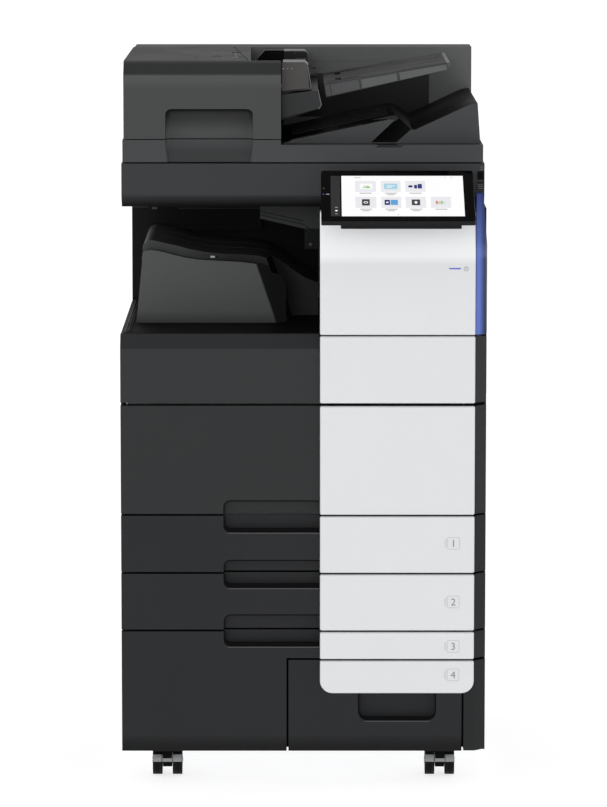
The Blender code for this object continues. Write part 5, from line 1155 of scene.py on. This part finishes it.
k = Kit("inner_panel_fittings", GREY, BLACK, GREEN_TAB, LIGHT, AXLE)
for x in (-0.2150, -0.1150, -0.0150, 0.1000):
    k.turn([(0.0382, -0.0012), (0.0412, -0.0012), (0.0412, 0.0012), (0.0382, 0.0012)], (x, Y(0.0328), 0.7020), "Y", 44, 0)
for x in (-0.2150, -0.1150, -0.0150, 0.1000):
    k.prism(rounded(x - 0.0410, x + 0.0410, 0.5290, 0.5990, 0.0060), "Y", (Y(0.0420), Y(0.0480)), 0.0012, mat=1)
    k.prism(rounded(x - 0.0290, x + 0.0290, 0.5400, 0.5700, 0.0050), "Y", (Y(0.0395), Y(0.0430)), 0.0010, mat=0)
    k.prism(rounded(x - 0.0180, x + 0.0180, 0.5490, 0.5560, 0.0030), "Y", (Y(0.0360), Y(0.0400)), 0.0010, mat=3)
    k.cyl((x + 0.0300, Y(0.0405), 0.5860), "Y", 0.0060, 0.0060, 28, b=0.0010, mat=4)
    k.cyl((x - 0.0300, Y(0.0405), 0.5860), "Y", 0.0045, 0.0060, 28, b=0.0010, mat=1)
k.prism(rounded(-0.2380, 0.1880, 0.6020, 0.6338, 0.0050), "Y", (Y(0.0372), Y(0.0398)), 0.0008, mat=0)
for x in (-0.2150, 0.1650):
    k.prism(rounded(x - 0.0130, x + 0.0130, 0.6100, 0.6270, 0.0060), "Y", (Y(0.0300), Y(0.0376)), 0.0016, mat=2)
k.prism(rounded(-0.2850, 0.2050, 0.4630, 0.5190, 0.0060), "Y", (Y(0.0275), Y(0.0332)), 0.0014, mat=3)
for i in range(11):
    x = -0.2600 + 0.0440 * i
    k.prism(rounded(x, x + 0.0020, 0.4700, 0.5120, 0.0009, 3), "Y", (Y(0.0268), Y(0.0278)), 0.0003, mat=3)
for x in (-0.2770, 0.1960):
    k.prism(rounded(x - 0.0070, x + 0.0070, 0.5000, 0.5150, 0.0030), "Y", (Y(0.0262), Y(0.0285)), 0.0008, mat=2)
for x in (-0.2860, 0.2590):
    for z in (0.4700, 0.6430, 0.7480):
        screw(k, (x, Y(0.0327), z), "Y", -1, 0.0036, 4)
k.box((0.2150, 0.2400), (Y(0.0290), Y(0.0334)), (0.6600, 0.6900), 0.0014, mat=1)
k.box((0.2200, 0.2350), (Y(0.0276), Y(0.0300)), (0.6680, 0.6740), 0.0008, mat=2)
k.done("machine")

for name, body, z0, z1 in (("upper_door_ribs", "upper_door", 0.6750, 0.7385), ("lower_door_ribs", "lower_door", 0.4960, 0.6430)):
    k = Kit(name, BODY, BLACK)
    for i in range(9):
        x = -0.2900 + 0.0715 * i
        k.box((x, x + 0.0022), (Y(0.0036), Y(0.0120)), (z0, z1), 0.0005, mat=0)
    k.box((-0.3000, 0.2850), (Y(0.0036), Y(0.0110)), ((z0 + z1) / 2 - 0.0011, (z0 + z1) / 2 + 0.0011), 0.0005, mat=0)
    k.done(body)

# ================================================================ drawers
for n, zb in ((1, 0.3700), (2, 0.2720)):
    k = Kit(f"drawer_{n}_guides", GREY, GREEN_TAB, BLACK)
    for d in (0.0440, 0.4760):
        k.box((-0.1200, 0.1400), (Y(d), Y(d + 0.0030)), (zb + 0.0030, zb + 0.0600), 0.0012, mat=0)
        for x in (-0.1180, 0.0090, 0.1360):
            k.box((x, x + 0.0020), (Y(d - 0.0040), Y(d + 0.0070)), (zb + 0.0030, zb + 0.0460), 0.0005, mat=0)
    k.box((-0.0200, 0.0200), (Y(0.0385), Y(0.0470)), (zb + 0.0520, zb + 0.0660), 0.0018, mat=1)
    k.box((-0.2380, -0.2340), (Y(0.2200), Y(0.3100)), (zb + 0.0030, zb + 0.0620), 0.0012, mat=0)
    k.box((-0.2520, -0.2380), (Y(0.2450), Y(0.2850)), (zb + 0.0030, zb + 0.0200), 0.0016, mat=1)
    for i in range(6):
        x = -0.2700 + 0.088 * i
        k.box((x, x + 0.0016), (Y(0.5262), Y(0.5285)), (zb + 0.004, zb + 0.070), 0.0004, mat=2)
    k.done(f"drawer_{n}")
    k = Kit(f"lift_pad_{n}", ROLLER, ZINC)
    k.box((0.1750, 0.2250), (Y(0.2300), Y(0.3000)), (zb + 0.0078, zb + 0.0088), 0.0003, mat=0)
    for d in (0.1000, 0.4000):
        k.prism(rounded(-0.1500, 0.1500, Y(d), Y(d + 0.0300), 0.008), "Z", (zb + 0.0078, zb + 0.0083), 0.0002, mat=1)
    k.done(f"lift_{n}")
for n, x0, x1 in ((3, -0.2840, -0.0360), (4, -0.0170, 0.2570)):
    k = Kit(f"drawer_{n}_guides", GREY, GREEN_TAB, BLACK)
    mid = (x0 + x1) / 2
    for d in (0.0290, 0.5165):
        k.box((mid - 0.0800, mid + 0.0800), (Y(d), Y(d + 0.0030)), (0.0790, 0.1850), 0.0012, mat=0)
        k.box((mid - 0.0030, mid + 0.0030), (Y(d), Y(d + 0.0080)) if d < 0.1 else (Y(d - 0.0050), Y(d + 0.0030)), (0.1500, 0.1850), 0.0012, mat=1)
    k.done(f"drawer_{n}")
    k = Kit(f"lift_pad_{n}", ROLLER, ZINC)
    k.box((mid - 0.0300, mid + 0.0300), (Y(0.2400), Y(0.3000)), (0.0838, 0.0848), 0.0003, mat=0)
    for d in (0.1000, 0.4000):
        k.prism(rounded(x0 + 0.030, x1 - 0.030, Y(d), Y(d + 0.0300), 0.008), "Z", (0.0838, 0.0843), 0.0002, mat=1)
    k.done(f"lift_{n}")

# ================================================================ rollers' shafts and casters
for fx, sx in (("left", -1), ("right", 1)):
    for fy, d in (("front", 0.070), ("rear", 0.575)):
        x, yw = sx * 0.2328, Y(d) + 0.018
        # Light grey bands round the wheels' fronts, as painted highlights.
        k = Kit(f"caster_{fy}_{fx}_guard", CASTER_HIGHLIGHT, DEEP)
        arc = [(yw - q * math.cos(math.radians(a)), 0.0250 + q * math.sin(math.radians(a))) for q, aa in ((0.0256, range(3, 32, 4)), (0.0264, range(31, 2, -4))) for a in aa]
        for x0, x1 in ((-0.0246, -0.0098), (-0.0086, 0.0086), (0.0098, 0.0246)):
            k.prism(arc, "X", (x + x0, x + x1), 0.0002, mat=0)
        k.done(f"caster_fork_{fy}_{fx}")
k = Kit("exit_shaft_ends", DEEP, DEEP)
for s in (-1, 1):
    k.cyl((0.0120, Y(0.3470) + s * 0.1735, 0.9045), "Y", 0.0031, 0.0140, 24, b=0.0004, mat=0)
    k.turn([(0.0031, -0.0015), (0.0052, -0.0015), (0.0052, 0.0015), (0.0031, 0.0015)], (0.0120, Y(0.3470) + s * 0.1690, 0.9045), "Y", 24, 1)
k.done("exit_roller")

for fx, sx in (("left", -1), ("right", 1)):
    for fy, d in (("front", 0.070), ("rear", 0.575)):
        x, yw = sx * 0.2328, Y(d) + 0.018
        k = Kit(f"caster_{fy}_{fx}_hubs", BLACK, TRIM, AXLE)
        for s in (-1, 1):
            xo = x + s * 0.0250
            k.turn([(0.0, -0.0012 * s), (0.0165, -0.0012 * s), (0.0165, 0.0002 * s), (0.0150, 0.0007 * s), (0.0060, 0.0010 * s), (0.0, 0.0010 * s)],
                   (xo - s * 0.0004, yw, 0.0250), "X", 36, 0)
            k.turn([(0.0, -0.0010 * s), (0.0052, -0.0010 * s), (0.0052, 0.0010 * s), (0.0040, 0.0016 * s), (0.0, 0.0016 * s)], (xo, yw, 0.0250), "X", 28, 2)
            for i in range(6):
                a = math.pi * i / 3
                k.box((xo - s * 0.0002 - 0.0006, xo - s * 0.0002 + 0.0006), (-0.0010, 0.0010), (0.0068, 0.0145), 0.0003, mat=1,
                      m=Matrix.Translation((0, yw, 0.0250)) @ Matrix.Rotation(a, 4, "X"))
        for s in (-1, 1):
            xm = x + s * 0.0170
            for o in (-0.0045, 0.0045):
                k.turn([(0.0246, -0.0008), (0.0252, -0.0005), (0.0252, 0.0005), (0.0246, 0.0008)], (xm + o, yw, 0.0252), "X", 40, 0)
        k.done(f"caster_wheels_{fy}_{fx}")

# ================================================================ floor, light and camera
fl = bpy.data.meshes.new("studio_floor")
bm = bmesh.new()
bmesh.ops.create_grid(bm, x_segments=8, y_segments=8, size=60.0)
bm.to_mesh(fl)
bm.free()
floor = bpy.data.objects.new("studio_floor", fl)
SCENE.collection.objects.link(floor)
f = Finish("studio_floor")
n = f.noise(2.0, 3.0)
fl.materials.append(f.shader(f.mix(1.0, (0.52, 0.52, 0.52), f.ramp(n, 0.3, 0.7, 0.985, 1.0), "MULTIPLY"),
                             f.ramp(n, 0.3, 0.7, 0.8, 0.85), normal=f.bump(f.noise(120.0, 2.0), 0.00002), spec=0.2,
                             emit=(1.0, 1.0, 1.0), emit_strength=0.74))

world = bpy.data.worlds.new("studio")
SCENE.world = world
world.use_nodes = True
wt = world.node_tree
sky = wt.nodes["Background"]
sky.inputs[1].default_value = 1.0
where = wt.nodes.new("ShaderNodeTexCoord")
split = wt.nodes.new("ShaderNodeSeparateXYZ")
wt.links.new(where.outputs["Generated"], split.inputs[0])
steps = wt.nodes.new("ShaderNodeValToRGB")
wt.links.new(split.outputs["Z"], steps.inputs[0])
wt.links.new(steps.outputs[0], sky.inputs[0])
ramp = steps.color_ramp
for at, level in ((0.0, 0.86), (0.18, 0.84), (0.36, 0.40), (0.62, 0.14), (1.0, 0.10)):
    e = ramp.elements[0] if at == 0.0 else (ramp.elements[1] if at == 1.0 else ramp.elements.new(at))
    e.position, e.color = at, (level, level, level, 1.0)


def area(name, loc, look, size, power, shape=(1, 1)):
    d = bpy.data.lights.new(name, "AREA")
    d.shape, d.size, d.size_y, d.energy = "RECTANGLE", size * shape[0], size * shape[1], power
    o = bpy.data.objects.new(name, d)
    o.location = loc
    o.rotation_mode = "QUATERNION"
    o.rotation_quaternion = (Vector(look) - Vector(loc)).to_track_quat("-Z", "Y")
    SCENE.collection.objects.link(o)
    return o


def sun(name, direction, strength, angle):
    d = bpy.data.lights.new(name, "SUN")
    d.energy, d.angle = strength, math.radians(angle)
    o = bpy.data.objects.new(name, d)
    o.rotation_mode = "QUATERNION"
    o.rotation_quaternion = Vector(direction).to_track_quat("-Z", "Y")
    SCENE.collection.objects.link(o)
    return o


sun("key", (0.10, 0.97, -0.17), 0.76, 22)
for light in (sun("back_fill", (0.05, -0.85, -0.40), 0.65, 60), sun("left_fill", (0.85, 0.15, -0.40), 0.50, 60),
              sun("right_fill", (-0.85, 0.15, -0.40), 0.50, 60)):
    light.visible_glossy = False
area("top_box", (0.0, -0.6, 3.6), (0, 0, 1.1), 1.6, 10, (1.4, 1))

cam = bpy.data.cameras.new("camera")
cam.sensor_width, cam.lens = 36.0, 201.14
cam.clip_start, cam.clip_end = 0.5, 200.0
cam_ob = bpy.data.objects.new("camera", cam)
cam_ob.location = (0.0, Y_FRONT - 7.5, 1.6396)
cam_ob.rotation_euler = (math.radians(82.5), 0.0, 0.0)
SCENE.collection.objects.link(cam_ob)
SCENE.camera = cam_ob
SCENE.view_settings.view_transform = "Standard"
SCENE.view_settings.look = "None"
